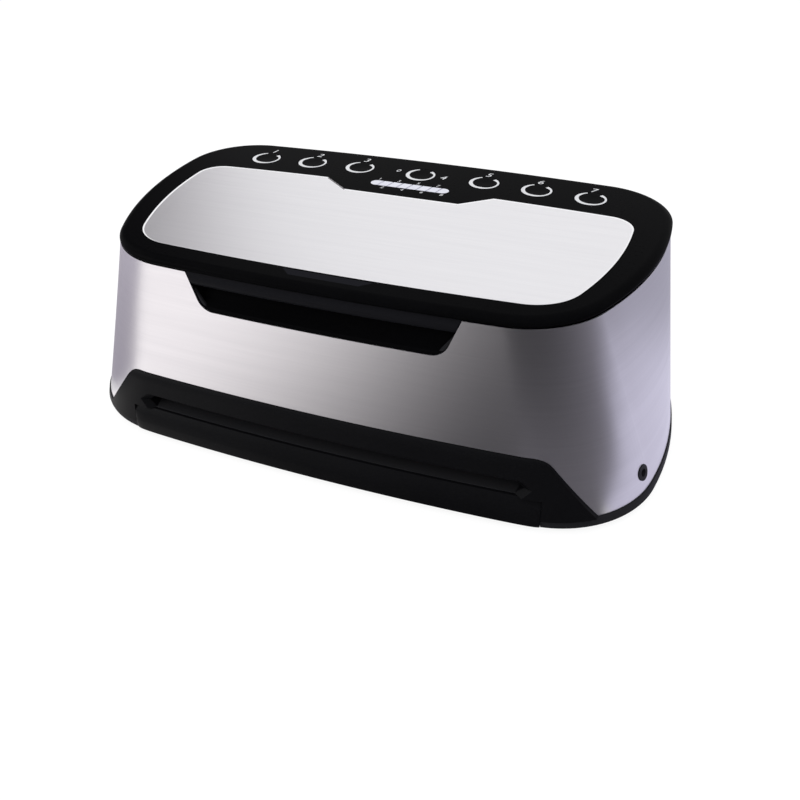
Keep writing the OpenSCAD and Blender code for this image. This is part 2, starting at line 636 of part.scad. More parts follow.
// ---- Cover ----
key_y = [-5.5, -2, 0, 0, 0, -2, -5.5];
key_x = [-149, -103.5, -57.5, 0, 57.5, 103.5, 149];
key_bore = key_d + 2 * gap;
notch_w = 152;
notch_low_w = 100;
notch_h = 21;
plate_back = lid_front + plate_margin + plate_d;
module plate_2d(g)
    difference() {
        polygon(outline(plate_form, g));
        polygon([[-notch_low_w / 2 - g * 0.6, plate_back - notch_h + g],
                 [notch_low_w / 2 + g * 0.6, plate_back - notch_h + g],
                 [notch_w / 2 - g, plate_back + g + 6], [-notch_w / 2 + g, plate_back + g + 6]]);
    }
module lid_frame() color("#0a0a0c")
    difference() {
        union() {
            hull() {
                form_plate(lid_form, seam_z, total_h - 3.5);
                form_plate(lid_form, seam_z, total_h - 1.4, -1.2);
                form_plate(lid_form, seam_z, total_h, -4.5);
            }
            // grip lip that hangs down at the middle of the front edge
            intersection() {
                from_front(lid_front - 20, lid_front + 3.5) intersection() {
                    grip_outline(-0.5);
                    translate([-grip_w, seam_z - lip_h]) square([2 * grip_w, lip_h + 1]);
                }
                form_plate(lid_form, seam_z - lip_h - 1, seam_z + 1);
            }
            both_sides() intersection() {
                union() {
                    rod_x(2 * hinge_r, hinge_x - lug_w / 2, hinge_x + lug_w / 2, hinge_y, hinge_z);
                    block(hinge_x - lug_w / 2, hinge_x + lug_w / 2, lid_back - 8, hinge_y + 1, hinge_z, seam_z + 1);
                }
                block(0, base_w, lid_back - 8, hinge_y + hinge_r, hinge_z - hinge_r, seam_z + 0.5);
            }
        }
        form_plate(lid_form, seam_z - 0.5, total_h - wall - 1.5, -wall - 0.5);
        translate([0, 0, total_h - plate_t - 0.1]) linear_extrude(5) plate_2d(0.15);
        for (i = [0:6]) rod_z(key_bore, 100, total_h + 1, key_x[i], lid_front + key_row + key_y[i]);
        bar_slot(0.1, 100, total_h + 1);
        both_sides() rod_x(hinge_pin + 2 * fit, hinge_x - 30, hinge_x + 30, hinge_y, hinge_z);
    }
module bar_slot(g, z0, z1)
    translate([0, lid_front + key_row - 28, z0]) linear_extrude(z1 - z0) {
        square([bar_l - bar_w, bar_w + 2 * g], center = true);
        for (s = [-1, 1]) translate([s * (bar_l - bar_w) / 2, 0]) circle(d = bar_w + 2 * g);
    }
module lid_plate() color("#dcdce0")
    translate([0, 0, total_h - plate_t - 0.1]) linear_extrude(plate_t) plate_2d(0);

liner_z = seam_z - 3;
module lid_liner() color("#3c3c40")
    difference() {
        union() {
            form_plate(lid_form, liner_z, liner_z + 2, -10);
            for (i = [-3:3]) mid_rib(i * 55);
        }
        both_sides() block(hinge_x - hinge_w / 2 - 2, hinge_x + hinge_w / 2 + 2, lid_back - 24, lid_back + 5,
                           liner_z - 1, liner_z + 3);
        from_front(lid_front - 40, pocket_y + wall + 1) grip_outline(4);
    }
board_y = lid_front + key_row - 36; // front of the control board
module mid_rib(x)
    block(x - 0.8, x + 0.8, lid_front + plate_margin + 10, board_y - 1, liner_z + 2, total_h - wall - 1.5);
module control_board() color("#1d5a34")
    union() {
        mid_block(key_x[6] - key_x[0] + 38, board_y, board_y + 54, seam_z - 1, seam_z + 0.4);
        for (i = [0:6]) rod_z(5, seam_z + 0.4, total_h - 4.2 - key_travel - 0.3, key_x[i],
                              lid_front + key_row + key_y[i]);
        both_sides() rod_z(6, seam_z + 0.4, total_h - wall - 1.5, key_x[6] + 11, board_y + 6);
    }
module indicator_bar() color("#e4e4ea")
    bar_slot(0, seam_z + 0.4, total_h);
module lid_screws() color("#a8a8ac")
    both_sides() for (y = [lid_front + plate_margin + 10, plate_back + 16])
        rod_z(6, liner_z - 0.8, liner_z, plate_w / 2 - 40, y);

module key(i) color("#0c0c0e")
    translate([key_x[i], lid_front + key_row + key_y[i], 0])
        union() {
            rod_z(key_d, total_h - 2.6, total_h, 0, 0);
            rod_z(8, total_h - 4.2, total_h - 2.6, 0, 0);
        }
module key_1() key(0);
module key_2() key(1);
module key_3() key(2);
module key_4() key(3);
module key_5() key(4);
module key_6() key(5);
module key_7() key(6);

base_pan();
steel_shell();
mouth_bezel();
grip_pocket();
inner_deck();
roll_cradle();
cutter_rail();
cutter_carriage();
cutter_blade();
lower_jaw();
lower_gasket();
seal_element();
ptfe_tape();
drip_tray();
press_beam();
upper_gasket();
pressure_strip();
lift_shaft();
bearing_blocks();
clamp_motor();
pump_motor();
pump_head();
vacuum_hose();
port_hose();
vacuum_sensor();
transformer();
main_board();
accessory_port();
cord_gland();
feet();
base_screws();
hinge_brackets();
hinge_pins();
lid_frame();
lid_plate();
lid_liner();
control_board();
indicator_bar();
lid_screws();
key_1();
key_2();
key_3();
key_4();
key_5();
key_6();
key_7();
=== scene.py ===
"""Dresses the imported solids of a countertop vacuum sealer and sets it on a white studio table.

Each operator builds one piece, or a group of like pieces, from the same sizes as the solids.
Lengths in the geometry code are millimetres in the part's own frame: +X along the width,
+Y from the bag mouth to the rear, +Z up, the origin at the centre of the footprint.
"""

import json
import math
from contextlib import contextmanager

import bmesh
import bpy
from mathutils import Matrix, Vector


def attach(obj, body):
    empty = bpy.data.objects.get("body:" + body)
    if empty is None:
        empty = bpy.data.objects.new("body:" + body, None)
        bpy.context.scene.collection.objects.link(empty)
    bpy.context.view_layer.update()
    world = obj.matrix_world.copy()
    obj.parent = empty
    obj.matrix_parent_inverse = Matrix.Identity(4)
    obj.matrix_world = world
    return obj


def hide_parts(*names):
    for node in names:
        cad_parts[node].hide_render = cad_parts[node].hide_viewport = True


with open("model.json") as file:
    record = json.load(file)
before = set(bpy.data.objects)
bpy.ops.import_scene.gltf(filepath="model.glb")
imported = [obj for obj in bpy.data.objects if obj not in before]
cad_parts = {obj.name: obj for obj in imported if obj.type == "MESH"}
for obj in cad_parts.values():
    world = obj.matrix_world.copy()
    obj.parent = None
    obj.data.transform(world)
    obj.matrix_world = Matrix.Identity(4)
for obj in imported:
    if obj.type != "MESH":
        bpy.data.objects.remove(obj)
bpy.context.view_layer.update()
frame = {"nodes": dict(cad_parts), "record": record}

bl_info = {
    "name": "Countertop vacuum sealer",
    "version": (1, 0, 0),
    "blender": (4, 5, 0),
    "location": "3D View > Sidebar > Sealer",
    "description": "Builds the visible pieces of a vacuum sealer round its packed solids",
    "category": "Object",
}

# ---- sizes shared with the solids
MM = 0.001
BASE_W, BASE_D, TOTAL_H = 480.0, 274.0, 160.0
FRONT_RAKE, STRIP_H, STRIP_OUT, SHELL_T, WALL = 12.5, 10.0, 1.0, 1.0, 2.5
FOOT_H, GAP = 3.0, 0.3
LID_W, LID_D, RIM_H = 430.0, 248.0, 7.0
PLATE_W, PLATE_D, PLATE_T, PLATE_MARGIN = 380.0, 164.0, 1.2, 20.0
NOTCH_W, NOTCH_LOW_W, NOTCH_H = 152.0, 100.0, 21.0
KEY_D, KEY_ROW = 27.0, 213.0
LAMP_L, LAMP_W, LAMP_ROW, LAMP_PARTS = 70.0, 10.0, 185.0, 8
KEY_X = (-149.0, -103.5, -57.5, 0.0, 57.5, 103.5, 149.0)
KEY_Y = (-5.5, -2.0, 0.0, 0.0, 0.0, -2.0, -5.5)
GRIP_W, GRIP_LOW_W, GRIP_H, GRIP_DEEP, LIP_H, LIP_T = 208.0, 184.0, 36.0, 16.0, 11.0, 3.5
BAR_H, BAR_TOP_W, BAR_FOOT_W, BAR_OUT = 58.0, 330.0, 404.0, 3.0
MOUTH_W, MOUTH_Z, MOUTH_H, BELLY_OUT, BELLY_Z, THROAT = 304.0, 26.0, 11.5, 1.5, 13.0, 20.0
TRAY_W, TRAY_DEEP = 330.0, 76.0
HINGE_X, HINGE_W, HINGE_R, HINGE_PIN, LUG_W = 140.0, 40.0, 4.5, 3.0, 16.0
RIM_OUT = 1.6   # how far the cover's rim bulges past the steel
SUNK = 0.05     # how far the dressed cover's top stays under the solid's, so that it lies in its box
FIT = 0.05      # clearance round a port or pin
PORT_D, PORT_BORE, PORT_Z, PORT_BACK = 12.0, 6.0, 24.0, 62.0
GLAND_D, GLAND_X, GLAND_Z = 12.0, 150.0, 24.0
SIDE_R, BOW_R, ARC_N = 290.0, 2400.0, 28

FRONT_Y = BAR_OUT + BELLY_OUT - BASE_D / 2 - FRONT_RAKE * BELLY_Z / TOTAL_H
REAR_Y = BASE_D / 2 - STRIP_OUT
LID_FRONT = FRONT_Y + FRONT_RAKE
LID_BACK = LID_FRONT + LID_D
SEAM_Z = TOTAL_H - RIM_H
DECK_Z = SEAM_Z - 7
PLATE_BACK = LID_FRONT + PLATE_MARGIN + PLATE_D
BOWL_W = MOUTH_W - 4
PAN_FLOOR = FOOT_H + WALL
JAW_Z = MOUTH_Z - 4
JAW_FRONT = FRONT_Y + THROAT
TRAY_REAR = FRONT_Y - BAR_OUT + 6 + WALL + TRAY_DEEP + WALL
HINGE_Y, HINGE_Z = LID_BACK + 0.5, SEAM_Z - 5
POCKET_Y = LID_FRONT + GRIP_DEEP
SCREW_X, SCREW_ROWS = BASE_W / 2 - 52, (52 - BASE_D / 2, BASE_D / 2 - 42)
PORT_Y = FRONT_Y + PORT_BACK
SIDES = (-1, 1)

# An outline: width, front, rear, widest place, front corner radius, rear corner radius
BASE_FORM = (BASE_W, FRONT_Y, REAR_Y, -8.0, 84.0, 50.0)
LID_FORM = (LID_W, LID_FRONT, LID_BACK, LID_FRONT + 168, 69.0, 58.0)
PLATE_FORM = (PLATE_W, LID_FRONT + PLATE_MARGIN, PLATE_BACK, LID_FRONT + PLATE_MARGIN + 133, 39.0, 21.0)


# ---- flat outlines
def meet(a, ra, b, rb, side):
    """The point at distances ra and rb from a and b, on the chosen side of the line between."""
    d = (b - a).length
    u = (b - a) / d
    t = (d * d + ra * ra - rb * rb) / (2 * d)
    return a + t * u + side * math.sqrt(ra * ra - t * t) * Vector((-u.y, u.x))


def turn(v):
    return math.atan2(v.y, v.x)


def arc(centre, radius, start, end, steps=ARC_N):
    """Points along an arc, without its last one."""
    angles = [start + (end - start) * i / steps for i in range(steps)]
    return [Vector((centre.x + radius * math.cos(a), centre.y + radius * math.sin(a))) for a in angles]


def outline(form, grow=0.0):
    """Closed outline of bowed walls and round corners, grown all round with its centres kept."""
    width, front, rear, widest, near_r, far_r = form
    width, front, rear = width + 2 * grow, front - grow, rear + grow
    near_r, far_r, side_r, bow_r = near_r + grow, far_r + grow, SIDE_R + grow, BOW_R + grow
    side_c = Vector((width / 2 - side_r, widest))
    front_c, rear_c = Vector((0, front + bow_r)), Vector((0, rear - bow_r))
    near = meet(front_c, bow_r - near_r, side_c, side_r - near_r, 1)
    far = meet(rear_c, bow_r - far_r, side_c, side_r - far_r, -1)
    half = (
        arc(front_c, bow_r, -math.pi / 2, turn(near - front_c))
        + arc(near, near_r, turn(near - front_c), turn(near - side_c))
        + arc(side_c, side_r, turn(near - side_c), 0, ARC_N // 2)
        + arc(side_c, side_r, 0, turn(far - side_c), ARC_N // 2)
        + arc(far, far_r, turn(far - side_c), turn(far - rear_c))
        + arc(rear_c, bow_r, turn(far - rear_c), math.pi / 2)
    )
    top = Vector((0, rear))
    return half + [top] + [Vector((-p.x, p.y)) for p in reversed(half[1:])]


def wall_at(z, grow=0.0):
    """The body's outline at height z, on the wall ruled from the base's outline to the cover's."""
    low, high = outline(BASE_FORM, grow), outline(LID_FORM, grow)
    return [foot.lerp(head, z / TOTAL_H) for foot, head in zip(low, high)]


def front_at(x, z, grow=0.0):
    """The y of the front wall at x and z."""
    wall = sorted((p for p in wall_at(z, grow) if p.y < -20), key=lambda p: p.x)
    for a, b in zip(wall, wall[1:]):
        if a.x <= x <= b.x:
            return a.y + (b.y - a.y) * (x - a.x) / max(b.x - a.x, 1e-9)
    raise ValueError(f"x {x} lies outside the front wall")


def rounded(corners, radius, steps=10):
    """A polygon with each corner rounded."""
    points, n = [], len(corners)
    for i in range(n):
        p = Vector(corners[i])
        a = (Vector(corners[i - 1]) - p).normalized()
        b = (Vector(corners[(i + 1) % n]) - p).normalized()
        half = a.angle(b) / 2
        centre = p + (a + b).normalized() * radius / math.sin(half)
        start = p + a * radius / math.tan(half) - centre
        sweep = start.angle_signed(p + b * radius / math.tan(half) - centre)
        for k in range(steps + 1):
            points.append(centre + Matrix.Rotation(-sweep * k / steps, 2) @ start)
    return points


def grip_outline(grow=0.0):
    """Front view of the grip recess: a trapezoid that widens upwards and runs on above the cover."""
    above, radius = 40, 14
    lean = (GRIP_W - GRIP_LOW_W) / 2 / (GRIP_H - RIM_H)
    low, high = TOTAL_H - GRIP_H - grow, SEAM_Z + above + grow
    slant = grow * math.hypot(1, lean)
    foot = GRIP_LOW_W / 2 + slant - lean * grow
    head = GRIP_W / 2 + above * lean + slant + lean * grow
    return rounded([(-foot, low), (foot, low), (head, high), (-head, high)], radius + grow)


def bar_outline(grow=0.0, low=STRIP_H):
    """Front view of the black bar: a trapezoid with round upper corners, cut off at the strip."""
    lean = (BAR_FOOT_W - BAR_TOP_W) / 2 / (BAR_H - STRIP_H)
    slant = grow * math.hypot(1, lean)
    radius = 18 + grow
    top_x = BAR_TOP_W / 2 + slant - lean * grow
    foot = top_x + (BAR_H + grow - low) * lean
    right = rounded([(0, BAR_H + grow), (top_x, BAR_H + grow), (foot, low)], radius)[11:22]
    right.sort(key=lambda p: p.x)
    right = right + [Vector((foot, low))]
    return [Vector((-p.x, p.y)) for p in reversed(right)] + right


def circle(x, y, radius, steps=48):
    return [Vector((x + radius * math.cos(a), y + radius * math.sin(a)))
            for a in (2 * math.pi * i / steps for i in range(steps))]


def rect(x0, x1, y0, y1):
    return [Vector((x0, y0)), Vector((x1, y0)), Vector((x1, y1)), Vector((x0, y1))]


# ---- meshes
def link(name, data):
    """An object in the scene that shows the data."""
    obj = bpy.data.objects.new(name, data)
    bpy.context.scene.collection.objects.link(obj)
    return obj


@contextmanager
def editing(mesh):
    """The mesh opened for editing, and written back afterwards."""
    shape = bmesh.new()
    shape.from_mesh(mesh)
    yield shape
    shape.to_mesh(mesh)
    shape.free()


def new_object(name, points, faces):
    """A mesh object from points in millimetres."""
    mesh = bpy.data.meshes.new(name)
    mesh.from_pydata([Vector(p) * MM for p in points], [], faces)
    with editing(mesh) as shape:
        bmesh.ops.recalc_face_normals(shape, faces=shape.faces[:])
    return link(name, mesh)


def loft(name, rings, wrap=False):
    """Skin over rings of as many points each; wrap joins the last ring to the first."""
    n, count = len(rings[0]), len(rings)
    faces = []
    for i in range(count if wrap else count - 1):
        a, b = i * n, (i + 1) % count * n
        faces += [(a + j, a + (j + 1) % n, b + (j + 1) % n, b + j) for j in range(n)]
    if not wrap:
        faces += [tuple(reversed(range(n))), tuple(range((count - 1) * n, count * n))]
    return new_object(name, [p for ring in rings for p in ring], faces)


AXES = {
    "x": lambda u, v, w: (w, u, v),
    "y": lambda u, v, w: (u, w, v),
    "z": lambda u, v, w: (u, v, w),
}


def prism(name, flat, low, high, axis="z"):
    """A flat outline pushed from low to high along an axis."""
    return loft(name, [[AXES[axis](p.x, p.y, w) for p in flat] for w in (low, high)])


def block(name, x0, x1, y0, y1, z0, z1):
    return prism(name, rect(x0, x1, y0, y1), z0, z1)


def body_ring(z, grow=0.0):
    return [(p.x, p.y, z) for p in wall_at(z, grow)]


def lid_ring(z, grow=0.0):
    return [(p.x, p.y, z) for p in outline(LID_FORM, grow)]


def shown_mesh(obj):
    """A new mesh of what the object shows, with its modifiers applied."""
    bpy.context.view_layer.update()
    shown = obj.evaluated_get(bpy.context.evaluated_depsgraph_get())
    return bpy.data.meshes.new_from_object(shown)


def settle(obj):
    """Replaces the mesh with what its modifiers make of it."""
    mesh = shown_mesh(obj)
    obj.modifiers.clear()
    obj.data = mesh


def combine(obj, tools, how="DIFFERENCE"):
    """Cuts, joins or intersects obj with the tools, and removes the tools."""
    for tool in tools:
        step = obj.modifiers.new(how.lower(), "BOOLEAN")
        step.operation, step.object, step.solver = how, tool, "EXACT"
    settle(obj)
    if not obj.data.polygons:
        raise RuntimeError(f"nothing is left of {obj.name} after {how.lower()}")
    for tool in tools:
        bpy.data.objects.remove(tool)
    with editing(obj.data) as shape:
        bmesh.ops.remove_doubles(shape, verts=shape.verts[:], dist=0.005 * MM)
        bmesh.ops.dissolve_degenerate(shape, edges=shape.edges[:], dist=0.002 * MM)


def soften(obj, width, angle=32, segments=2, smooth=40):
    """Rounds the sharp edges and shades what lies between them smooth."""
    if width:
        bevel = obj.modifiers.new("edges", "BEVEL")
        bevel.width, bevel.segments = width * MM, segments
        bevel.limit_method, bevel.angle_limit = "ANGLE", math.radians(angle)
        bevel.use_clamp_overlap = True
        settle(obj)
    obj.data.shade_smooth()
    obj.data.set_sharp_from_angle(angle=math.radians(smooth))
    even = obj.modifiers.new("even", "WEIGHTED_NORMAL")
    even.keep_sharp, even.weight = True, 80
    return obj


def dress(obj, body, slot, *nodes, finish=None):
    """Gives a piece the material of its slot and its body, and hides the solids that it stands for.

    finish names another material than the slot's own."""
    obj.data.materials.clear()
    obj.data.materials.append(SURFACES[finish or slot])
    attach(obj, body)
    if nodes:
        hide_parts(*nodes)


# ---- colours and materials
SURFACES = {}


def linear(hex_code):
    """An sRGB hex colour as linear values."""
    channels = [int(hex_code[i:i + 2], 16) / 255 for i in (0, 2, 4)]
    return tuple(c / 12.92 if c <= 0.04045 else ((c + 0.055) / 1.055) ** 2.4 for c in channels)


def empty_tree(owner):
    """The node tree of a material or world, with nothing in it."""
    owner.use_nodes = True
    owner.node_tree.nodes.clear()
    return owner.node_tree


def add(tree, kind, values=None, links=None, **settings):
    """A shader node with its settings, input values and links."""
    node = tree.nodes.new("ShaderNode" + kind)
    for name, value in settings.items():
        setattr(node, name, value)
    for socket, value in (values or {}).items():
        node.inputs[socket].default_value = value
    for socket, source in (links or {}).items():
        tree.links.new(source, node.inputs[socket])
    return node


def surface(name, colour, second, grain=0.5, stretch=(1, 1, 1), cloud=40.0, mottle=0.5,
            metallic=0.0, rough=0.4, swing=0.08, relief=0.01, detail=3.0, shader=None):
    """A material whose grain, in millimetres, drives colour, roughness and relief together.

    stretch is how many times longer the grain is along each axis; cloud is the size of the
    broad unevenness; mottle is how far the colour moves to the second one; swing is how far the
    roughness moves to either side; relief is the grain's height in millimetres."""
    material = bpy.data.materials.new(name)
    tree = empty_tree(material)
    place = add(tree, "TexCoord")
    scaled = add(tree, "Mapping", {"Scale": [1 / s for s in stretch]}, {"Vector": place.outputs["Object"]})
    # a cell of the noise holds a light and a dark spot, so that a cell is two grains wide
    fine = add(tree, "TexNoise", {"Scale": 0.5 / (grain * MM), "Detail": detail, "Roughness": 0.6},
               {"Vector": scaled.outputs["Vector"]})
    broad = add(tree, "TexNoise", {"Scale": 0.5 / (cloud * MM), "Detail": 2.0, "Roughness": 0.5},
                {"Vector": scaled.outputs["Vector"] if metallic else place.outputs["Object"]})
    # the two add up to about 1, from 0.6 to 1.4
    both = add(tree, "Math", None, {0: fine.outputs["Fac"], 1: broad.outputs["Fac"]}, operation="ADD")
    level = add(tree, "MapRange", {"From Min": 0.6, "From Max": 1.4, "To Min": 0.0, "To Max": 1.0},
                {"Value": both.outputs[0]})
    share = add(tree, "Math", {1: mottle}, {0: level.outputs[0]}, operation="MULTIPLY")
    tint = add(tree, "Mix", {6: colour, 7: second}, {0: share.outputs[0]}, data_type="RGBA")
    gloss = add(tree, "MapRange",
                {"From Min": 0.0, "From Max": 1.0, "To Min": rough - swing, "To Max": rough + swing},
                {"Value": level.outputs[0]})
    bump = add(tree, "Bump", {"Strength": 1.0, "Distance": relief * MM}, {"Height": fine.outputs["Fac"]})
    skin = add(tree, "BsdfPrincipled", {"Metallic": metallic, **(shader or {})},
               {"Base Color": tint.outputs[2], "Roughness": gloss.outputs[0], "Normal": bump.outputs[0]})
    add(tree, "OutputMaterial", None, {"Surface": skin.outputs["BSDF"]})
    return material


def colour_setting(name, description, hex_code):
    return bpy.props.FloatVectorProperty(name=name, description=description, size=3, min=0, max=1,
                                         subtype="COLOR", default=linear(hex_code))


def length_setting(name, description, millimetres):
    return bpy.props.FloatProperty(name=name, description=description, default=millimetres * MM,
                                   min=0.0, unit="LENGTH", subtype="DISTANCE", precision=5)


class SealerSizes(bpy.types.PropertyGroup):
    """Sizes of visible detail that the solids leave plain."""

    rim_round: length_setting("Cover rounding", "Radius of the cover's upper edge", 5.5)
    plate_bevel: length_setting("Plate bevel", "Bright bevel along the inset plate's edge", 1.1)
    bar_round: length_setting("Bar rounding", "Height over which the front bar rolls back", 8.0)
    moulded_edge: length_setting("Moulded edge", "Radius of a moulded edge", 0.5)
    sheet_edge: length_setting("Sheet edge", "Radius of the steel sheet's cut edge", 0.45)
    ring_radius: length_setting("Ring radius", "Outer radius of the ring printed on a key", 12.9)
    ring_width: length_setting("Ring width", "Widest place of the printed ring", 3.3)
    numeral: length_setting("Numeral height", "Height of the printed numerals", 8.5)


class SealerColours(bpy.types.PropertyGroup):
    """Colours of the main surfaces."""

    shell: colour_setting("Shell", "Brushed steel of the body", "C9C7CB")
    plate: colour_setting("Plate", "Brushed steel of the cover", "EAE9EC")
    gloss: colour_setting("Cover black", "Polished black of the cover", "070708")
    satin: colour_setting("Bar black", "Satin black of the front bar and tray", "0C0C0E")
    strip: colour_setting("Strip black", "Textured black of the base", "1E1E20")
    ink: colour_setting("Ink", "Printed rings and numerals", "DADBDD")
    lamp: colour_setting("Lamp", "Light guide of the indicator", "D8D9E4")


# Moulded black plastics mirror little: satin ones a trace, polished ones almost nothing
SATIN = {"IOR": 1.5, "Specular IOR Level": 0.03}
LIP = {"IOR": 1.5, "Specular IOR Level": 0.01}
DEEP = {"IOR": 1.5, "Specular IOR Level": 0.004}
# Light guide: a clear skin over the diffuser
CLEAR = {"Coat Weight": 0.5, "Coat Roughness": 0.1}

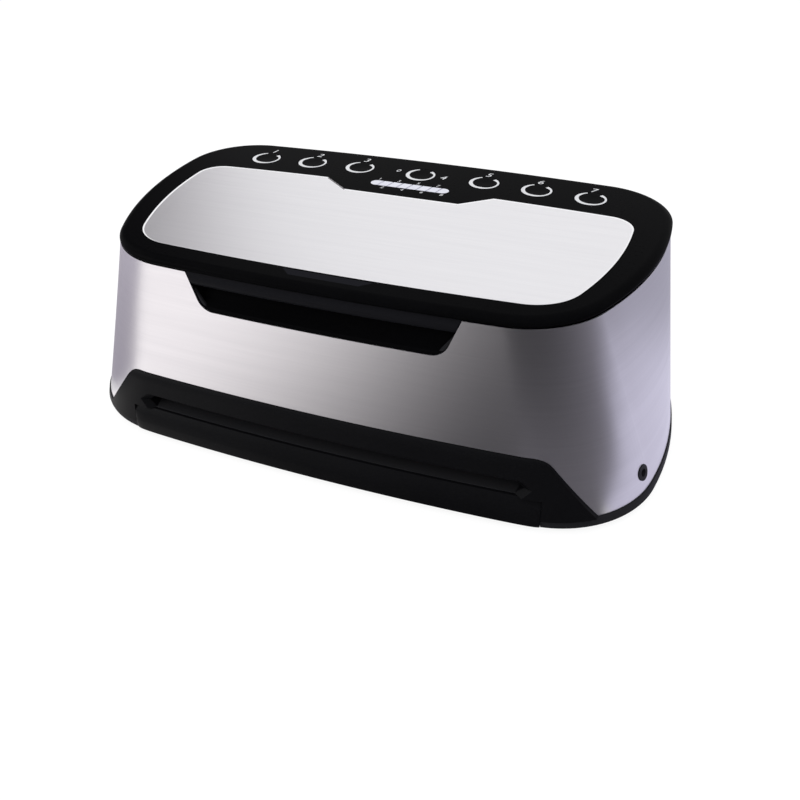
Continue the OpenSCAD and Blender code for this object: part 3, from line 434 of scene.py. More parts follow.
# Slot: the material's name, its colour (a colour setting or an sRGB hex value), its second colour,
# and the settings of its surface
FINISHES = {
    # Stainless sheet, brushed round the wall: long fine scratches stretch each reflection
    # upright. Real scratches are 0.1 mm apart, drawn here 0.7 mm apart so that they show.
    "brushed_shell": ("stainless_brushed_wall", "shell", "B9B7BC", dict(
        grain=0.7, stretch=(60, 60, 1), cloud=2.4, mottle=0.4, metallic=1.0, rough=0.33, swing=0.03,
        relief=0.012, detail=4.0)),
    # Stainless plate, brushed along its length: paler, with scratches that run the long way.
    # They too are drawn wider than the real 0.1 mm so that they show.
    "brushed_plate": ("stainless_brushed_plate", "plate", "DDDCE0", dict(
        grain=0.6, stretch=(40, 1, 1), cloud=2.2, mottle=0.4, metallic=1.0, rough=0.38, swing=0.03,
        relief=0.01, detail=4.0)),
    # The same plate where its edge is cut with a diamond tool to a smoother bevel; its paler colour is a
    # painted highlight, the thin bright line
    "cut_edge_painted_highlight": ("stainless_cut_edge_painted_highlight", "FBFBFD", "F2F2F5", dict(
        grain=0.3, stretch=(20, 20, 1), cloud=3.0, metallic=1.0, rough=0.25, swing=0.03, relief=0.001,
        detail=2.0)),
    # Polished black ABS: deep, with the faint orange peel of a polished mould
    "gloss_black": ("abs_black_polished", "gloss", "0F0F11", dict(
        grain=1.6, cloud=60.0, mottle=0.3, rough=0.30, swing=0.04, relief=0.0008, detail=2.0, shader=DEEP)),
    # Black ABS key, polished but touched often: a shade greyer than the cover round it
    "key_black": ("abs_black_key", "gloss", "151517", dict(
        grain=1.2, cloud=20.0, mottle=0.3, rough=0.32, swing=0.04, relief=0.0008, detail=2.0, shader=DEEP)),
    # The cover's ABS where the mould is etched: a dull field in the polished black
    "satin_field": ("abs_black_etched_field", "19191D", "1E1E22", dict(
        cloud=30.0, rough=0.5, swing=0.05, relief=0.004, shader=DEEP)),
    # The cover's ABS at the grip lip, painted a shade greyer than the cover: a painted sheen that stands in
    # for the soft highlight along the lip
    "lip_painted_sheen": ("abs_black_lip_painted_sheen", "161619", "1B1B1E", dict(
        grain=1.6, cloud=60.0, mottle=0.3, rough=0.30, swing=0.04, relief=0.0008, detail=2.0, shader=LIP)),
    # The bar's ABS where a bag slides over it: a duller black, painted greyer than the bar as painted light,
    # so that the ramp in the mouth's shade reads lit
    "ramp_painted_light": ("abs_black_ramp_painted_light", "28282A", "202022", dict(
        grain=0.8, cloud=30.0, mottle=0.4, rough=0.45, swing=0.06, relief=0.004, shader=SATIN)),
    # Satin black ABS from a finely blasted mould: broad, dim highlights
    "bar_black": ("abs_black_satin", "satin", "18181A", dict(
        grain=0.8, cloud=50.0, mottle=0.4, swing=0.06, relief=0.004, shader=SATIN)),
    # Spark-eroded black ABS: a 0.5 mm grain that breaks up the light
    "black_strip": ("abs_black_textured", "strip", "2A2A2D", dict(
        cloud=30.0, rough=0.55, relief=0.02, shader=SATIN)),
    # Grey ABS from a blasted mould: even and dull, a liner that is not meant to be seen
    "grey_plastic": ("abs_grey_moulded", "3B3B3F", "464649", dict(grain=0.6, rough=0.5, relief=0.012)),
    # White ABS, moulded smooth: a soft sheen, slightly yellowed in places
    "white_plastic": ("abs_white_moulded", "DEDEDF", "D2D1CF", dict(
        grain=0.6, cloud=45.0, rough=0.42, swing=0.07, relief=0.008)),
    # Pale ABS rail that the cutter runs on: fine marks along its length
    "rail_plastic": ("abs_pale_rail", "C8C8CC", "BBBBC0", dict(
        stretch=(6, 1, 1), cloud=30.0, rough=0.38, swing=0.07, relief=0.006)),
    # Acetal, moulded: a waxy black with little texture
    "carriage_plastic": ("pom_black_carriage", "161618", "202023", dict(
        cloud=10.0, swing=0.06, relief=0.006)),
    # Ground blade steel: fine grinding marks across the edge, bright where they end
    "blade_steel": ("steel_ground_blade", "C9CCD0", "B2B5BA", dict(
        grain=0.2, stretch=(12, 12, 1), cloud=3.0, mottle=0.6, metallic=1.0, rough=0.22, swing=0.06,
        relief=0.004)),
    # Closed-cell foam: a soft matte skin with 0.8 mm cells
    "gasket_foam": ("foam_closed_cell", "4B4B50", "36363A", dict(
        grain=0.8, cloud=8.0, mottle=0.8, rough=0.85, relief=0.06)),
    # Silicone rubber, moulded: a matte brick red that gathers dust
    "silicone_red": ("silicone_red", "8E2B22", "7A231C", dict(
        grain=0.7, cloud=12.0, mottle=0.6, rough=0.55)),
    # Rolled nickel-chrome ribbon: rolling marks along it and a straw tint from heat
    "heat_ribbon": ("nichrome_rolled", "B9B4A8", "9D988C", dict(
        grain=0.25, stretch=(14, 1, 1), cloud=6.0, mottle=0.6, metallic=1.0, rough=0.35, relief=0.003)),
    # Coated glass cloth: tan, with the cloth's 0.6 mm weave just raised
    "ptfe_tan": ("ptfe_glass_cloth", "A98B5D", "8F744B", dict(
        grain=0.6, cloud=15.0, mottle=0.8, rough=0.45, relief=0.02)),
    # Turned bright steel: fine rings round the bar and a narrow highlight
    "turned_steel": ("steel_turned", "BFC3C8", "A2A6AB", dict(
        grain=0.3, stretch=(1, 8, 8), cloud=6.0, mottle=0.6, metallic=1.0, rough=0.28, swing=0.07,
        relief=0.004)),
    # Sintered brass: a dull, slightly pitted yellow
    "bearing_brass": ("brass_sintered", "C9A35A", "A98342", dict(
        grain=0.4, cloud=8.0, mottle=0.6, metallic=1.0, rough=0.42)),
    # Zinc-plated drawn steel: grey and faintly cloudy
    "motor_zinc": ("steel_zinc_plated", "A3A7AC", "8A8E94", dict(
        cloud=18.0, mottle=0.6, metallic=1.0, rough=0.36, relief=0.006)),
    # Glass-filled nylon: a rough black flecked by the fibres
    "pump_black": ("nylon_glass_filled", "2C2C30", "3A3A3E", dict(
        grain=0.4, cloud=20.0, mottle=0.6, rough=0.6, relief=0.02)),
    # Extruded silicone hose: a milky skin
    "hose_silicone": ("silicone_translucent_hose", "CFC9BA", "BDB7A6", dict(
        grain=0.6, cloud=15.0, rough=0.42, relief=0.006)),
    # Moulded polyester housing: an even, semi-matte blue
    "sensor_blue": ("pbt_blue", "1F4F8F", "183F73", dict(cloud=10.0, rough=0.5)),
    # Varnished laminations: 0.5 mm steel sheets stacked along x
    "transformer_iron": ("laminations_varnished", "6A6258", "4A443C", dict(
        stretch=(1, 20, 20), cloud=10.0, mottle=0.8, metallic=0.6, rough=0.45, swing=0.1, relief=0.05)),
    # Glass-epoxy board under solder mask: a glossy green, darker over copper
    "board_green": ("fr4_solder_mask", "1D5A34", "174A2B", dict(
        grain=0.9, cloud=12.0, mottle=0.6, rough=0.3, swing=0.06)),
    # Black ABS socket: satin, with a paler rim where the tool parted
    "port_black": ("abs_black_port", "1A1A1D", "26262A", dict(
        cloud=6.0, swing=0.06, relief=0.008, shader=SATIN)),
    # Powder-coated steel bracket: a fine black orange peel
    "hinge_black": ("steel_black_coated", "141416", "1E1E21", dict(
        cloud=12.0, rough=0.45, swing=0.06, shader=SATIN)),
    # Black rubber foot: matte, with a grey bloom
    "foot_rubber": ("rubber_black", "1B1B1D", "252528", dict(
        cloud=8.0, mottle=0.6, rough=0.75, relief=0.02)),
    # Light guide: clear polycarbonate over a white diffuser, so it looks pale and deep
    "lamp_white": ("polycarbonate_light_guide", "lamp", "C2C3D2", dict(
        grain=1.0, cloud=6.0, mottle=0.6, rough=0.3, swing=0.05, relief=0.004, detail=2.0, shader=CLEAR)),
    # Pad-printed ink: matte and slightly uneven where it wets the plastic
    "ink": ("ink_silver_white", "ink", "BFC0C4", dict(
        grain=0.4, cloud=8.0, mottle=0.6, rough=0.5, swing=0.06, relief=0.003)),
}


class SEALER_OT_surfaces(bpy.types.Operator):
    """Make the materials and give them to the solids that stay"""

    bl_idname = "sealer.surfaces"
    bl_label = "Surfaces"

    def execute(self, context):
        colours = context.scene.sealer_colours
        for slot, (name, first, second, settings) in FINISHES.items():
            main = getattr(colours, first) if first in SealerColours.__annotations__ else linear(first)
            SURFACES[slot] = surface(name, (*main, 1.0), (*linear(second), 1.0), **settings)
        for part in frame["record"]["subparts"]:
            solid = frame["nodes"][part["node"]]
            solid.data.materials.clear()
            solid.data.materials.append(SURFACES[part["material_slot"]])
            # a rounding of 0.25 mm catches the light, as a moulded or deburred edge does
            weld = solid.modifiers.new("weld", "WELD")
            weld.merge_threshold = 0.01 * MM
            bevel = solid.modifiers.new("edges", "BEVEL")
            bevel.width, bevel.segments, bevel.limit_method = 0.25 * MM, 2, "ANGLE"
            bevel.angle_limit = math.radians(40)
            even = solid.modifiers.new("even", "WEIGHTED_NORMAL")
            even.keep_sharp = True
        return {"FINISHED"}


# ---- pieces
class SEALER_OT_shell(bpy.types.Operator):
    """Wrap the brushed steel sheet round the body and cut its openings"""

    bl_idname = "sealer.shell"
    bl_label = "Steel shell"

    def execute(self, context):
        s = context.scene.sealer_sizes
        top = SEAM_Z - GAP
        wrap = loft("steel_wrap", [body_ring(STRIP_H), body_ring(top), body_ring(top, -SHELL_T),
                                   body_ring(STRIP_H, -SHELL_T)], wrap=True)
        tools = [prism("bar_cut", bar_outline(0.1, STRIP_H - 4), FRONT_Y - 20, 0, "y"),
                 prism("grip_cut", grip_outline(), FRONT_Y - 20, 0, "y"),
                 prism("port_cut", circle(PORT_Y, PORT_Z, PORT_D / 2 + FIT), 100, BASE_W, "x"),
                 prism("gland_cut", circle(GLAND_X, GLAND_Z, GLAND_D / 2 + FIT), 60, REAR_Y + 20, "y")]
        for side in SIDES:
            x = side * HINGE_X
            tools.append(block("hinge_cut", x - HINGE_W / 2 - GAP, x + HINGE_W / 2 + GAP,
                               LID_BACK - 20, LID_BACK + 20, HINGE_Z - 9, SEAM_Z + 1))
        combine(wrap, tools)
        soften(wrap, s.sheet_edge / MM, segments=2)
        dress(wrap, "base", "brushed_shell", "steel_shell")
        # the port's socket: its end is trimmed to the wall's own curve, just proud of it
        proud = 0.7
        port = prism("port_socket", circle(PORT_Y, PORT_Z, PORT_D / 2), BASE_W / 2 - 36, BASE_W / 2, "x")
        combine(port, [loft("port_end", [body_ring(4, proud), body_ring(60, proud)])], "INTERSECT")
        bore = circle(PORT_Y, PORT_Z, PORT_BORE / 2)
        combine(port, [prism("port_bore", bore, BASE_W / 2 - 26, BASE_W, "x")])
        soften(port, 0.5, angle=50, segments=3)
        dress(port, "base", "port_black", "accessory_port")
        return {"FINISHED"}


class SEALER_OT_cover(bpy.types.Operator):
    """Mould the cover with its rolled edge, grip lip and hinge lugs, and inlay the steel plate"""

    bl_idname = "sealer.cover"
    bl_label = "Cover and plate"

    def execute(self, context):
        s = context.scene.sealer_sizes
        radius, top = s.rim_round / MM, TOTAL_H - SUNK
        drop = 0.8 * radius  # the rolled edge is a little flatter than round
        profile = [(-0.8, SEAM_Z), (0.2, SEAM_Z + 0.3), (RIM_OUT, SEAM_Z + 2)]
        for i in range(13):
            a = math.pi / 2 * i / 12
            profile.append((RIM_OUT - (radius + RIM_OUT) * (1 - math.cos(a)),
                            top - drop + drop * math.sin(a)))
        rim = loft("cover_rim", [lid_ring(z, g) for g, z in profile])
        self.grip_lip()
        lugs = []
        for side in SIDES:
            x0, x1 = side * HINGE_X - LUG_W / 2, side * HINGE_X + LUG_W / 2
            lugs += [prism("lug", circle(HINGE_Y, HINGE_Z, HINGE_R), x0, x1, "x"),
                     block("root", x0, x1, LID_BACK - 8, HINGE_Y + 1, HINGE_Z, SEAM_Z + 1)]
        combine(rim, lugs, "UNION")
        tools = [prism("hollow", outline(LID_FORM, -WALL - 0.5), SEAM_Z - 0.5, TOTAL_H - WALL - 1.5),
                 prism("inlay", plate_outline(0.15), TOTAL_H - PLATE_T - 0.1, TOTAL_H + 5),
                 prism("slot", stadium(0.1), 100, TOTAL_H + 1)]
        tools += [prism("bore", circle(x, LID_FRONT + KEY_ROW + y, KEY_D / 2 + GAP, 64), 100, TOTAL_H + 1)
                  for x, y in zip(KEY_X, KEY_Y)]
        tools += [prism("pin_hole", circle(HINGE_Y, HINGE_Z, HINGE_PIN / 2 + FIT),
                        side * HINGE_X - 30, side * HINGE_X + 30, "x") for side in SIDES]
        combine(rim, tools)
        soften(rim, 0.18, angle=50)
        dress(rim, "cover", "gloss_black", "lid_frame")
        self.plate(s.plate_bevel)
        # an etched field on the frame, in front of the plate
        field = [Vector((x, LID_FRONT + y)) for x, y in ((-33, 18), (-25, 10.5), (28, 10.5), (36, 18))]
        field = prism("satin_field", field, TOTAL_H - 0.6, TOTAL_H - 0.02)
        dress(field, "cover", "gloss_black", finish="satin_field")
        return {"FINISHED"}

    @staticmethod
    def grip_lip():
        """The lip bulges out below the rim, then turns under behind the steel's cut-out."""
        low = SEAM_Z - LIP_H
        profile = [(-0.9, SEAM_Z + 1.5), (-0.3, SEAM_Z), (0.7, SEAM_Z - 1.6), (1.4, SEAM_Z - 3.4),
                   (1.6, SEAM_Z - 5), (1.4, SEAM_Z - 6.6), (0.7, low + 2.6), (-0.4, low + 1), (-1.75, low),
                   (-2.6, low + 0.6), (-3.2, low + 1.8), (-LIP_T, low + 3.5), (-LIP_T, SEAM_Z + 1.5)]
        lip = loft("grip_lip", [lid_ring(z, g) for g, z in profile], wrap=True)
        ends = prism("lip_ends", grip_outline(-0.5), LID_FRONT - 20, LID_FRONT + 12, "y")
        combine(lip, [ends], "INTERSECT")
        soften(lip, 0.3, angle=50)
        # the lip's greyer colour is a painted sheen, not a different plastic
        dress(lip, "cover", "gloss_black", finish="lip_painted_sheen")

    @staticmethod
    def plate(bevel):
        """The inlaid plate, its edge cut to a bevel whose paler colour is a painted highlight."""
        plate = prism("cover_plate", plate_outline(0), TOTAL_H - PLATE_T - 0.1, TOTAL_H - SUNK)
        with editing(plate.data) as shape:
            face = max(shape.faces, key=lambda f: f.calc_center_median().z)
            edge = list(face.verts)
            cut = bmesh.ops.inset_region(shape, faces=[face], thickness=bevel, use_even_offset=True)
            for facet in cut["faces"]:
                facet.material_index = 1
            for vert in edge:
                vert.co.z -= 0.4 * bevel
        indices = [f.material_index for f in plate.data.polygons]
        dress(plate, "cover", "brushed_plate", "lid_plate")
        # the bevel's paler colour is a painted highlight along the plate's edge
        plate.data.materials.append(SURFACES["cut_edge_painted_highlight"])
        plate.data.polygons.foreach_set("material_index", indices)


def plate_outline(grow):
    """The plate with the notch for the indicator in its rear edge."""
    points = outline(PLATE_FORM, grow)
    low = PLATE_BACK - NOTCH_H + grow
    half_low, half_top = NOTCH_LOW_W / 2 + grow * 0.6, NOTCH_W / 2 - grow
    slope = (half_top - half_low) / (PLATE_BACK - low)
    inside = [i for i, p in enumerate(points) if p.y > 0 and abs(p.x) < half_top]
    start, end = inside[0], inside[-1]
    row = points[start - 1].y
    cut_x = half_low + slope * (row - low)
    notch = [Vector((cut_x, row)), Vector((half_low, low)), Vector((-half_low, low)), Vector((-cut_x, row))]
    return points[:start] + notch + points[end + 1:]


def stadium(grow):
    """Outline of the indicator bar."""
    radius, half = LAMP_W / 2 + grow, (LAMP_L - LAMP_W) / 2
    return [Vector((x + radius * math.cos(start + math.pi * i / 16),
                    LID_FRONT + LAMP_ROW + radius * math.sin(start + math.pi * i / 16)))
            for x, start in ((half, -math.pi / 2), (-half, math.pi / 2)) for i in range(17)]


def mouth_ring(depth, flare):
    """The mouth's pointed outline at a depth behind the wall, flared beyond the opening."""
    point = 7  # length of the pointed ends
    half, low, high = MOUTH_W / 2 + flare, MOUTH_Z, MOUTH_Z + MOUTH_H + 0.45 * flare
    middle, run = (low + high) / 2 + 0.1 * flare, half - point
    edge = [run * i / 20 for i in range(-20, 21)]
    flat = [(-half, middle)] + [(x, low) for x in edge]
    flat += [(half, middle)] + [(x, high) for x in reversed(edge)]
    return [(x, front_at(x, z, BAR_OUT) + depth, z) for x, z in flat]


class SEALER_OT_bar(bpy.types.Operator):
    """Mould the black bar with its rolled top, bag mouth and throat"""

    bl_idname = "sealer.bar"
    bl_label = "Front bar"

    def execute(self, context):
        s = context.scene.sealer_sizes
        # the face leans back over the mouth and rolls inwards at the top
        roll, back, inwards = s.bar_round / MM, 0.6, 4.2
        face = [(BAR_OUT, STRIP_H), (BAR_OUT, MOUTH_Z), (BAR_OUT - back, BAR_H - roll)]
        for i in range(1, 11):
            a = math.pi / 2 * i / 10
            face.append((BAR_OUT - back - inwards * (1 - math.cos(a)), BAR_H - roll + roll * math.sin(a)))
        face += [(-2 * WALL, BAR_H), (-2 * WALL, STRIP_H)]
        bar = loft("mouth_bar", [body_ring(z, g) for g, z in face], wrap=True)
        combine(bar, [prism("bar_shape", bar_outline(), FRONT_Y - 30, 0, "y")], "INTERSECT")
        throat = block("throat", -MOUTH_W / 2 - 2 * WALL, MOUTH_W / 2 + 2 * WALL, FRONT_Y, JAW_FRONT - GAP,
                       MOUTH_Z + GAP, MOUTH_Z + MOUTH_H + 1.2)
        combine(throat, [loft("inside", [body_ring(STRIP_H), body_ring(BAR_H)])], "INTERSECT")
        combine(bar, [throat], "UNION")
        rings = ((-6, 7.7), (0, 6.4), (5, 0), (40, 0))
        funnel = loft("funnel", [mouth_ring(depth, flare) for depth, flare in rings])
        tray_bay = block("tray_bay", -TRAY_W / 2 - 2 * GAP, TRAY_W / 2 + 2 * GAP, FRONT_Y - 30, 0,
                         -1, MOUTH_Z + GAP)
        combine(bar, [funnel, tray_bay])
        # lower lip: a shallow ramp that leads the bag up onto the jaw
        half, low, rise = MOUTH_W / 2 - 1, MOUTH_Z + GAP, 2.2
        sections = []
        for i in range(-20, 21):
            x = half * i / 20
            near, far = front_at(x, low) + 1.5, JAW_FRONT - GAP
            sections.append([(x, near, low), (x, near, low + 0.4), (x, far, low + rise), (x, far, low)])
        ramp = soften(loft("mouth_ramp", sections), 0.2, segments=2)
        # the ramp's greyer colour is painted light on the floor of the mouth, which lies in shade
        dress(ramp, "base", "bar_black", finish="ramp_painted_light")
        soften(bar, s.moulded_edge / MM, segments=3)
        dress(bar, "base", "bar_black", "mouth_bezel")
        return {"FINISHED"}


class SEALER_OT_tray(bpy.types.Operator):
    """Mould the drip tray: a bulging front over a shallow bowl"""

    bl_idname = "sealer.tray"
    bl_label = "Drip tray"

    def execute(self, context):
        s = context.scene.sealer_sizes
        low, high = FOOT_H + 0.6, MOUTH_Z - GAP
        face = [(BAR_OUT - 0.8, low), (BAR_OUT - 0.1, low + 0.5), (BAR_OUT + 0.4, low + 2),
                (BAR_OUT + BELLY_OUT - 0.5, BELLY_Z - 3)]
        face += [(BAR_OUT + BELLY_OUT - 0.1 - 4.4 * (i / 10) ** 2.2, BELLY_Z + (high - BELLY_Z) * i / 10)
                 for i in range(11)]
        stations = []
        for i in range(-40, 41):
            x = (TRAY_W / 2 + GAP) * math.sin(math.pi / 2 * i / 40)  # closer together at the ends
            full = 1 - abs(i / 40) ** 7  # the belly dies away at the ends, flush with bar and strip
            ring = []
            for g, z in face:
                flush = min(g, STRIP_OUT + (BAR_OUT - STRIP_OUT) * min(1, (z - low) / (STRIP_H - low)))
                ring.append((x, front_at(x, z) - flush - (g - flush) * full, z))
            ring += [(x, front_at(x, high) + 4, high), (x, front_at(x, low) + 4, low)]
            stations.append(ring)
        front = loft("drip_drawer", stations)
        z0, z1 = PAN_FLOOR + GAP + 0.4, MOUTH_Z - 4.5
        near = FRONT_Y + 5

        def bowl(inset, z):
            half = BOWL_W / 2 - inset
            flat = rounded([(-half, near + inset), (half, near + inset), (half, TRAY_REAR - inset),
                            (-half, TRAY_REAR - inset)], 8 - inset * 0.8)
            return [(p.x, p.y, z) for p in flat]

        cup = loft("bowl", [bowl(1.2, z0), bowl(0.3, z0 + 0.5), bowl(0, z0 + 1.4), bowl(0, z1),
                            bowl(WALL, z1), bowl(WALL, z0 + 4), bowl(WALL + 0.5, z0 + 2.6),
                            bowl(WALL + 1.6, z0 + 2)])
        web = block("web", -BOWL_W / 2 + 8, BOWL_W / 2 - 8, FRONT_Y + 1, near + 1, z0 + 0.5, z1 - 0.5)
        combine(cup, [web], "UNION")
        combine(cup, [loft("behind", [body_ring(0, -1.5), body_ring(MOUTH_Z, -1.5)])], "INTERSECT")
        combine(front, [cup], "UNION")
        soften(front, s.moulded_edge / MM, segments=3)
        dress(front, "tray", "bar_black", "drip_tray")
        return {"FINISHED"}


class SEALER_OT_pocket(bpy.types.Operator):
    """Mould the scooped grip pocket behind the steel's cut-out"""

    bl_idname = "sealer.pocket"
    bl_label = "Grip pocket"

    def execute(self, context):
        s = context.scene.sealer_sizes
        pocket = loft("grip_scoop", [body_ring(z, -SHELL_T - 0.1) for z in (SEAM_Z - GRIP_H, DECK_Z)])
        ends = prism("pocket_ends", grip_outline(3), LID_FRONT - 30, POCKET_Y + WALL, "y")
        combine(pocket, [ends], "INTERSECT")
        radius, floor = 24.0, TOTAL_H - GRIP_H + 2
        centre = Vector((POCKET_Y - radius, floor + radius))
        profile = [Vector((LID_FRONT - 40, floor + 10)), Vector((centre.x - radius, floor + 10))]
        profile += [centre + radius * Vector((math.cos(a), math.sin(a)))
                    for a in (math.radians(-126 + 126 * i / 24) for i in range(25))]
        profile += [Vector((POCKET_Y, TOTAL_H + 40)), Vector((LID_FRONT - 40, TOTAL_H + 40))]
        scoop = prism("scoop", profile, -GRIP_W, GRIP_W, "x")
        ends = prism("scoop_ends", grip_outline(-0.4), LID_FRONT - 40, POCKET_Y, "y")
        combine(scoop, [ends], "INTERSECT")
        combine(pocket, [scoop])
        soften(pocket, s.moulded_edge / MM, segments=2)
        dress(pocket, "base", "gloss_black", "grip_pocket")
        return {"FINISHED"}


class SEALER_OT_base(bpy.types.Operator):
    """Mould the black base: the strip that shows under the steel, its floor and its inner walls"""

    bl_idname = "sealer.base"
    bl_label = "Base"

    def execute(self, context):
        out, rim = STRIP_OUT, STRIP_H + 14  # the rim stands inside the steel
        skin = [(out - 1.4, FOOT_H), (out - 0.5, FOOT_H + 0.3), (out, FOOT_H + 1.3), (out, STRIP_H - 0.6),
                (out - 0.25, STRIP_H - 0.15), (out - 0.6, STRIP_H), (-SHELL_T - GAP, STRIP_H),
                (-SHELL_T - GAP, rim), (-SHELL_T - WALL, rim), (-SHELL_T - WALL, PAN_FLOOR)]
        tub = loft("base_tub", [body_ring(z, g) for g, z in skin])
        boss, shank, head = 6, 1.7, 3.5  # radii at a screw
        parts = []
        for side in SIDES:
            x0 = side * (BOWL_W / 2 + GAP)
            x1 = x0 + side * WALL
            parts.append(block("bay_side", min(x0, x1), max(x0, x1), FRONT_Y + 12, TRAY_REAR + 6,
                               PAN_FLOOR - 0.5, JAW_Z))
            for y in SCREW_ROWS:
                parts.append(prism("boss", circle(side * SCREW_X, y, boss), PAN_FLOOR - 1, rim))
        parts.append(block("bay_rear", -BOWL_W / 2, BOWL_W / 2, TRAY_REAR + 3, TRAY_REAR + 3 + WALL,
                           PAN_FLOOR - 0.5, JAW_Z - 1))
        combine(tub, parts, "UNION")
        tools = [block("tray_front", -TRAY_W / 2 - 2 * GAP, TRAY_W / 2 + 2 * GAP, FRONT_Y - 20, FRONT_Y + 22,
                       -1, BAR_H),
                 prism("bar_room", bar_outline(0.4), FRONT_Y - 20, FRONT_Y + 42, "y"),
                 prism("port_room", circle(PORT_Y, PORT_Z, PORT_D / 2 + 3 + GAP),
                       BASE_W / 2 - 42, BASE_W / 2 + 4, "x"),
                 prism("gland_room", circle(GLAND_X, GLAND_Z, GLAND_D / 2 + 3 + GAP), REAR_Y - 30,
                       REAR_Y + 4, "y")]
        # eight vents, 12 mm wide and 24 mm apart
        tools += [block("vent", x, x + 12, 70, 110, FOOT_H - 1, PAN_FLOOR + 1) for x in range(-90, 79, 24)]
        for side in SIDES:
            for y in SCREW_ROWS:
                tools += [prism("shank", circle(side * SCREW_X, y, shank, 24), FOOT_H - 1, rim + 2),
                          prism("head", circle(side * SCREW_X, y, head, 32), FOOT_H - 1, FOOT_H + 1.5)]
        combine(tub, tools)
        soften(tub, 0.25, segments=2)
        dress(tub, "base", "black_strip", "base_pan")
        return {"FINISHED"}


def brush(t):
    """The printed ring's width along its stroke, as a share of its widest place."""
    stroke = ((0, 0.45), (0.14, 0.8), (0.28, 1.0), (0.5, 0.9), (0.7, 0.55), (0.87, 0.5), (1.0, 0.95))
    for (t0, w0), (t1, w1) in zip(stroke, stroke[1:]):
        if t <= t1:
            share = (t - t0) / (t1 - t0)
            return w0 + (w1 - w0) * share * share * (3 - 2 * share)
    return stroke[-1][1]


class SEALER_OT_keys(bpy.types.Operator):
    """Mould the seven keys and print a ring on each"""

    bl_idname = "sealer.keys"
    bl_label = "Keys"

    def execute(self, context):
        s = context.scene.sealer_sizes
        top, foot, half = TOTAL_H - 0.08, TOTAL_H - 2.6, KEY_D / 2
        # a plunger under a cap whose top is dished by 0.24 mm
        profile = ((4, TOTAL_H - 4.2), (4, foot), (half - 0.3, foot), (half, foot + 0.3), (half, top - 0.35),
                   (half - 0.12, top - 0.1), (half - 0.4, top), (half - 3, top - 0.02), (7, top - 0.14),
                   (3, top - 0.22), (0.6, top - 0.24))
        outer, width = s.ring_radius / MM, s.ring_width / MM
        start, end, steps = math.radians(112), math.radians(413), 60  # the ring's open stroke
        for i, (x, dy) in enumerate(zip(KEY_X, KEY_Y), 1):
            y = LID_FRONT + KEY_ROW + dy
            cap = loft(f"key_cap_{i}", [[(p.x, p.y, z) for p in circle(x, y, radius, 72)]
                                        for radius, z in profile])
            soften(cap, 0, smooth=50)
            dress(cap, f"button_{i}", "key_black", f"key_{i}")
            verts, faces = [], []
            for k in range(steps + 1):
                t = k / steps
                a = start + (end - start) * t
                thick = width * brush(t)
                for r in (outer, outer - thick):
                    for z in (top - 0.1, top + 0.03):  # ink that stands just proud of the cap
                        verts.append((x + r * math.cos(a), y + r * math.sin(a), z))
            for k in range(steps):
                a, b = 4 * k, 4 * k + 4
                faces += [(a, b, b + 1, a + 1), (a + 1, b + 1, b + 3, a + 3), (a + 3, b + 3, b + 2, a + 2),
                          (a + 2, b + 2, b, a)]
            n = 4 * steps
            faces += [(0, 1, 3, 2), (n, n + 2, n + 3, n + 1)]
            ring = new_object(f"key_ring_{i}", verts, faces)
            ring.data.materials.append(SURFACES["ink"])
            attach(ring, f"button_{i}")
        return {"FINISHED"}


class SEALER_OT_indicator(bpy.types.Operator):
    """Build the segmented light guide and print the plain numerals"""

    bl_idname = "sealer.indicator"
    bl_label = "Indicator and numerals"

    def execute(self, context):
        s = context.scene.sealer_sizes
        lamp = prism("status_lamp", stadium(0), SEAM_Z + 0.4, TOTAL_H - 0.02)
        middle = LID_FRONT + LAMP_ROW
        lean, half, reach, deep = 1.6, 0.45, 6, 3  # of the slanted lines that part the segments
        slit = ((-lean - half, -reach), (-lean + half, -reach), (lean + half, reach), (lean - half, reach))
        cuts = []
        for i in range(1, LAMP_PARTS):
            x = LAMP_L * (i / LAMP_PARTS - 0.5)
            flat = [Vector((x + dx, middle + dy)) for dx, dy in slit]
            cuts.append(prism("division", flat, TOTAL_H - deep, TOTAL_H + 1))
        combine(lamp, cuts)
        soften(lamp, 0.12, angle=50)
        dress(lamp, "cover", "lamp_white", "indicator_bar")
        # numerals: text, x, y, height; one behind each key, two beside key 4 in the middle, and
        # the segments' own, by turns behind and in front of the indicator
        row = LID_FRONT + KEY_ROW
        marks = [(str(i), x - 3.5, row + dy + 14.5, s.numeral)
                 for i, (x, dy) in enumerate(zip(KEY_X, KEY_Y), 1) if i != 4]
        marks += [("0", -24, row + 1, 0.7 * s.numeral), ("4", 18, row - 4, s.numeral)]
        marks += [(str(i + 1), LAMP_L * ((i + 0.5) / LAMP_PARTS - 0.5) - 1,
                   middle + (-10.4 if i % 2 else 7.0), 0.5 * s.numeral) for i in range(LAMP_PARTS)]
        for n, (text, x, y, height) in enumerate(marks, 1):
            curve = bpy.data.curves.new(f"numeral_{n}", "FONT")
            # a numeral stands 1 / 1.3 of its font's size
            curve.body, curve.size, curve.extrude = text, height * 1.3, 0.02 * MM
            curve.shear, curve.resolution_u = 0.2, 4
            letter = link(f"numeral_shape_{n}", curve)
            mesh = shown_mesh(letter)
            mesh.transform(Matrix.Translation(Vector((x, y, TOTAL_H - 0.04)) * MM))
            bpy.data.objects.remove(letter)
            mark = link(f"print_{n}", mesh)
            mark.data.materials.clear()
            mark.data.materials.append(SURFACES["ink"])
            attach(mark, "cover")
        return {"FINISHED"}


def seen_by(tree, *rays):
    """A socket that is 1 for the rays of those kinds and 0 for all others."""
    path = add(tree, "LightPath")
    seen = path.outputs[rays[0]]
    for ray in rays[1:]:
        seen = add(tree, "Math", None, {0: seen, 1: path.outputs[ray]}, operation="MAXIMUM").outputs[0]
    return seen


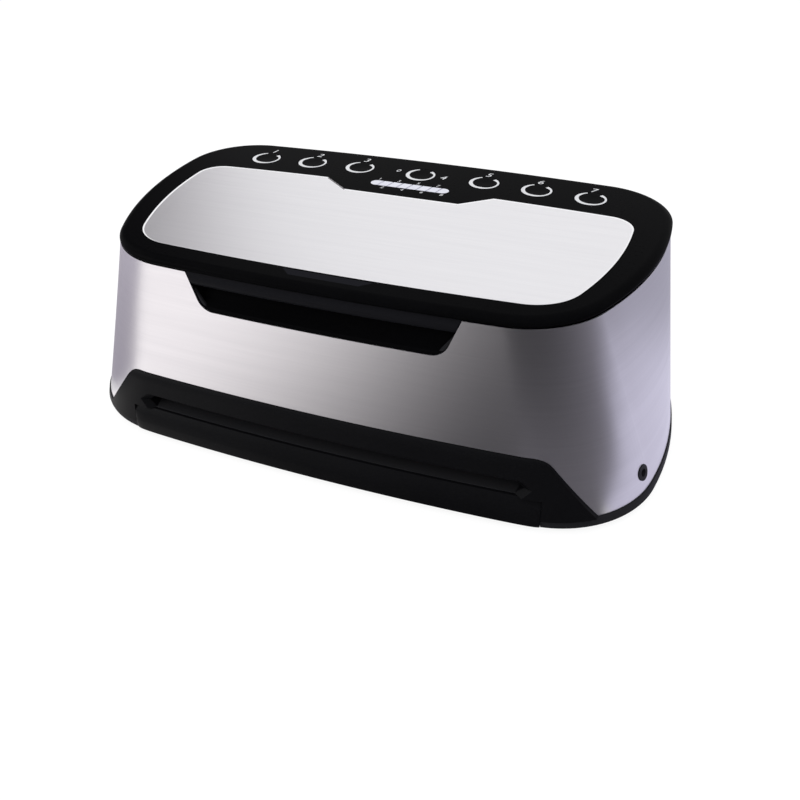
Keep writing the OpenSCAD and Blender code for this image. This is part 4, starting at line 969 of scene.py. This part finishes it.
def card(name, corners, axis, span, near, far):
    """A studio card that only reflections see, fading from near to far over a span of one axis."""
    panel = new_object(name, corners, [tuple(range(len(corners)))])
    paint = bpy.data.materials.new(name)
    tree = empty_tree(paint)
    place = add(tree, "TexCoord")
    part = add(tree, "SeparateXYZ", None, {0: place.outputs["Object"]})
    fade = add(tree, "MapRange", {"From Min": span[0] * MM, "From Max": span[1] * MM},
               {"Value": part.outputs[axis]}, interpolation_type="SMOOTHSTEP")
    ends = [[level * c for c in linear(tint)] + [1.0] for tint, level in (near, far)]
    tone = add(tree, "Mix", {6: ends[0], 7: ends[1]}, {0: fade.outputs[0]}, data_type="RGBA")
    glow = add(tree, "Emission", {"Strength": 1.0}, {"Color": tone.outputs[2]})
    add(tree, "OutputMaterial", None, {"Surface": glow.outputs[0]})
    panel.data.materials.append(paint)
    panel.visible_camera = panel.visible_diffuse = panel.visible_shadow = False


class SEALER_OT_stage(bpy.types.Operator):
    """Set the white table, soft lamps and camera"""

    bl_idname = "sealer.stage"
    bl_label = "Stage"

    def execute(self, context):
        scene = context.scene
        scene.view_settings.view_transform = "Standard"
        scene.world = bpy.data.worlds.new("studio")
        tree = empty_tree(scene.world)
        # white where it is seen, dimmer where it only lights the sealer
        level = add(tree, "MapRange", {"To Min": 0.62, "To Max": 1.0},
                    {"Value": seen_by(tree, "Is Camera Ray", "Is Glossy Ray", "Is Transmission Ray")})
        white = (*linear("FFFFFF"), 1.0)
        sky = add(tree, "Background", {"Color": white}, {"Strength": level.outputs[0]})
        add(tree, "OutputWorld", None, {"Surface": sky.outputs[0]})

        far, under = 9000, -0.2  # the table lies a hair under the feet
        table = new_object("table", [(p.x, p.y, under) for p in rect(-far, far, -far, far)], [(0, 1, 2, 3)])
        # Matte backdrop paper: an even white where it is seen, and the matte share of it keeps the
        # sealer's soft shadow
        paint = bpy.data.materials.new("paper_matte_white")
        tree = empty_tree(paint)
        share = add(tree, "Math", {1: 0.8}, {0: seen_by(tree, "Is Camera Ray", "Is Glossy Ray")},
                    operation="MULTIPLY")
        matte = add(tree, "BsdfDiffuse", {"Color": (*linear("E7E7E7"), 1.0)})
        glow = add(tree, "Emission", {"Color": white, "Strength": 1.12})
        mixed = add(tree, "MixShader", None, {0: share.outputs[0], 1: matte.outputs[0], 2: glow.outputs[0]})
        add(tree, "OutputMaterial", None, {"Surface": mixed.outputs[0]})
        table.data.materials.append(paint)

        for row in CARDS:
            card(*row)

        for name, spot, aim, size, power, tint in LAMPS:
            data = bpy.data.lights.new(name, "AREA")
            data.shape, data.size, data.energy, data.color = "SQUARE", size, power, linear(tint)
            lamp = link(name, data)
            lamp.location = spot
            lamp.visible_glossy = name != "overhead"
            lamp.rotation_euler = (Vector(aim) - Vector(spot)).to_track_quat("-Z", "Y").to_euler()

        azimuth, elevation, roll = (math.radians(a) for a in CAMERA_ANGLES)
        back = Vector((math.sin(azimuth) * math.cos(elevation), -math.cos(azimuth) * math.cos(elevation),
                       math.sin(elevation)))
        right = Vector((math.cos(azimuth), math.sin(azimuth), 0))
        up = back.cross(right)
        across = math.cos(roll) * right + math.sin(roll) * up
        upright = -math.sin(roll) * right + math.cos(roll) * up
        data = bpy.data.cameras.new("camera")
        data.sensor_width, data.lens, data.shift_y = 36.0, CAMERA_LENS, CAMERA_SHIFT
        data.clip_start, data.clip_end = 0.01, 60.0
        camera = link("camera", data)
        camera.matrix_world = Matrix((across, upright, back)).transposed().to_4x4()
        camera.location = Vector(CAMERA_PLACE) * MM
        scene.camera = camera
        return {"FINISHED"}


def at_height(z, *points):
    return tuple((x, y, z) for x, y in points)


# Edges of the bright and dark fields that the wall's right and left corners mirror
RIGHT_EDGE = ((1500, 700), (720, 300), (600, 105), (490, -30), (268, -116), (236, -119))
LEFT_EDGE = ((-270, -180), (-454, -240), (-1500, -650))

# Cards round the sealer, which only its reflections see: name, corners in millimetres, the axis
# and span over which the card fades, its tint and brightness at each end
CARDS = (
    ("front_card", at_height(0.5, (-1500, -1500), (1500, -1500), *RIGHT_EDGE, (185, -108), (-230, -95),
                             *LEFT_EDGE),
     "X", (-290, 115), ("FFFCFA", 1.62), ("FBF8FF", 0.10)),
    ("near_card", at_height(0.8, (140, -1500), (1500, -1500), *RIGHT_EDGE, (185, -108), (140, -108)),
     "Y", (-480, -140), ("FBF8FF", 0.06), ("F8F4FF", 0.19)),
    ("left_card", at_height(0.4, (-240, -60), *LEFT_EDGE, (-1500, 1200), (-240, 1200)),
     "X", (-900, -300), ("F6EFFF", 0.75), ("F6EFFF", 0.5)),
    ("side_card", at_height(0.4, (225, -105), *reversed(RIGHT_EDGE), (1500, 1200), (240, 1200)),
     "Y", (80, 280), ("EDEBFF", 1.1), ("EDEBFF", 0.62)),
    ("far_card", ((-600, -1500, 0), (1500, -1500, 0), (1500, -1500, 1000), (-600, -1500, 1000)),
     "X", (-600, -150), ("FFFFFF", 0.9), ("FBF8FF", 0.05)),
    ("right_card", ((1500, -1500, 0), (1500, 600, 0), (1500, 600, 600), (1500, -1500, 1000)),
     "Y", (250, 600), ("FBF8FF", 0.05), ("EDEBFF", 0.9)),
    ("rear_card", ((-3200, 1500, 200), (-1150, 1500, 200), (-1150, 1500, 2600), (-3200, 1500, 2600)),
     "X", (-1500, -1150), ("FFFAFF", 0.13), ("FFFAFF", 0.6)),
)
# Lamps: name, place and aim in metres, size in metres, watts and tint. Reflections see the
# softboxes, and the cards in place of the overhead lamp.
LAMPS = (
    ("overhead", (0.0, 0.25, 1.7), (0, 0, 0.1), 1.7, 11.0, "FFFFFF"),
    ("left_softbox", (-1.5, -1.0, 0.9), (-0.1, -0.1, 0.08), 1.2, 16.0, "FFFFFF"),
    ("right_fill", (1.6, -0.1, 0.6), (0.2, 0, 0.08), 1.0, 5.0, "E4E0FF"),
)
CAMERA_ANGLES = (21.49, 28.63, -1.17)   # azimuth, elevation and roll in degrees
CAMERA_PLACE = (241.5, -575.5, 443.1)   # millimetres
CAMERA_LENS = 39.07                     # millimetres, on a 36 mm sensor
CAMERA_SHIFT = -0.15                    # share of the frame's width

OPERATORS = (SEALER_OT_surfaces, SEALER_OT_shell, SEALER_OT_cover, SEALER_OT_bar, SEALER_OT_tray,
             SEALER_OT_pocket, SEALER_OT_base, SEALER_OT_keys, SEALER_OT_indicator, SEALER_OT_stage)


class SEALER_PT_panel(bpy.types.Panel):
    """Lists the pieces with the sizes and colours that they take"""

    bl_idname = "SEALER_PT_panel"
    bl_label = "Vacuum sealer"
    bl_space_type = "VIEW_3D"
    bl_region_type = "UI"
    bl_category = "Sealer"

    def draw(self, context):
        for group in (context.scene.sealer_sizes, context.scene.sealer_colours):
            column = self.layout.column()
            for name in group.__annotations__:
                column.prop(group, name)
        for operator in OPERATORS:
            self.layout.operator(operator.bl_idname)


CLASSES = (SealerSizes, SealerColours, *OPERATORS, SEALER_PT_panel)


def register():
    for kind in CLASSES:
        bpy.utils.register_class(kind)
    bpy.types.Scene.sealer_sizes = bpy.props.PointerProperty(type=SealerSizes)
    bpy.types.Scene.sealer_colours = bpy.props.PointerProperty(type=SealerColours)


def unregister():
    del bpy.types.Scene.sealer_colours
    del bpy.types.Scene.sealer_sizes
    for kind in reversed(CLASSES):
        bpy.utils.unregister_class(kind)


def main():
    register()
    for operator in OPERATORS:
        group, name = operator.bl_idname.split(".")
        getattr(getattr(bpy.ops, group), name)()
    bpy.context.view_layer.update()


if __name__ == "__main__":
    main()
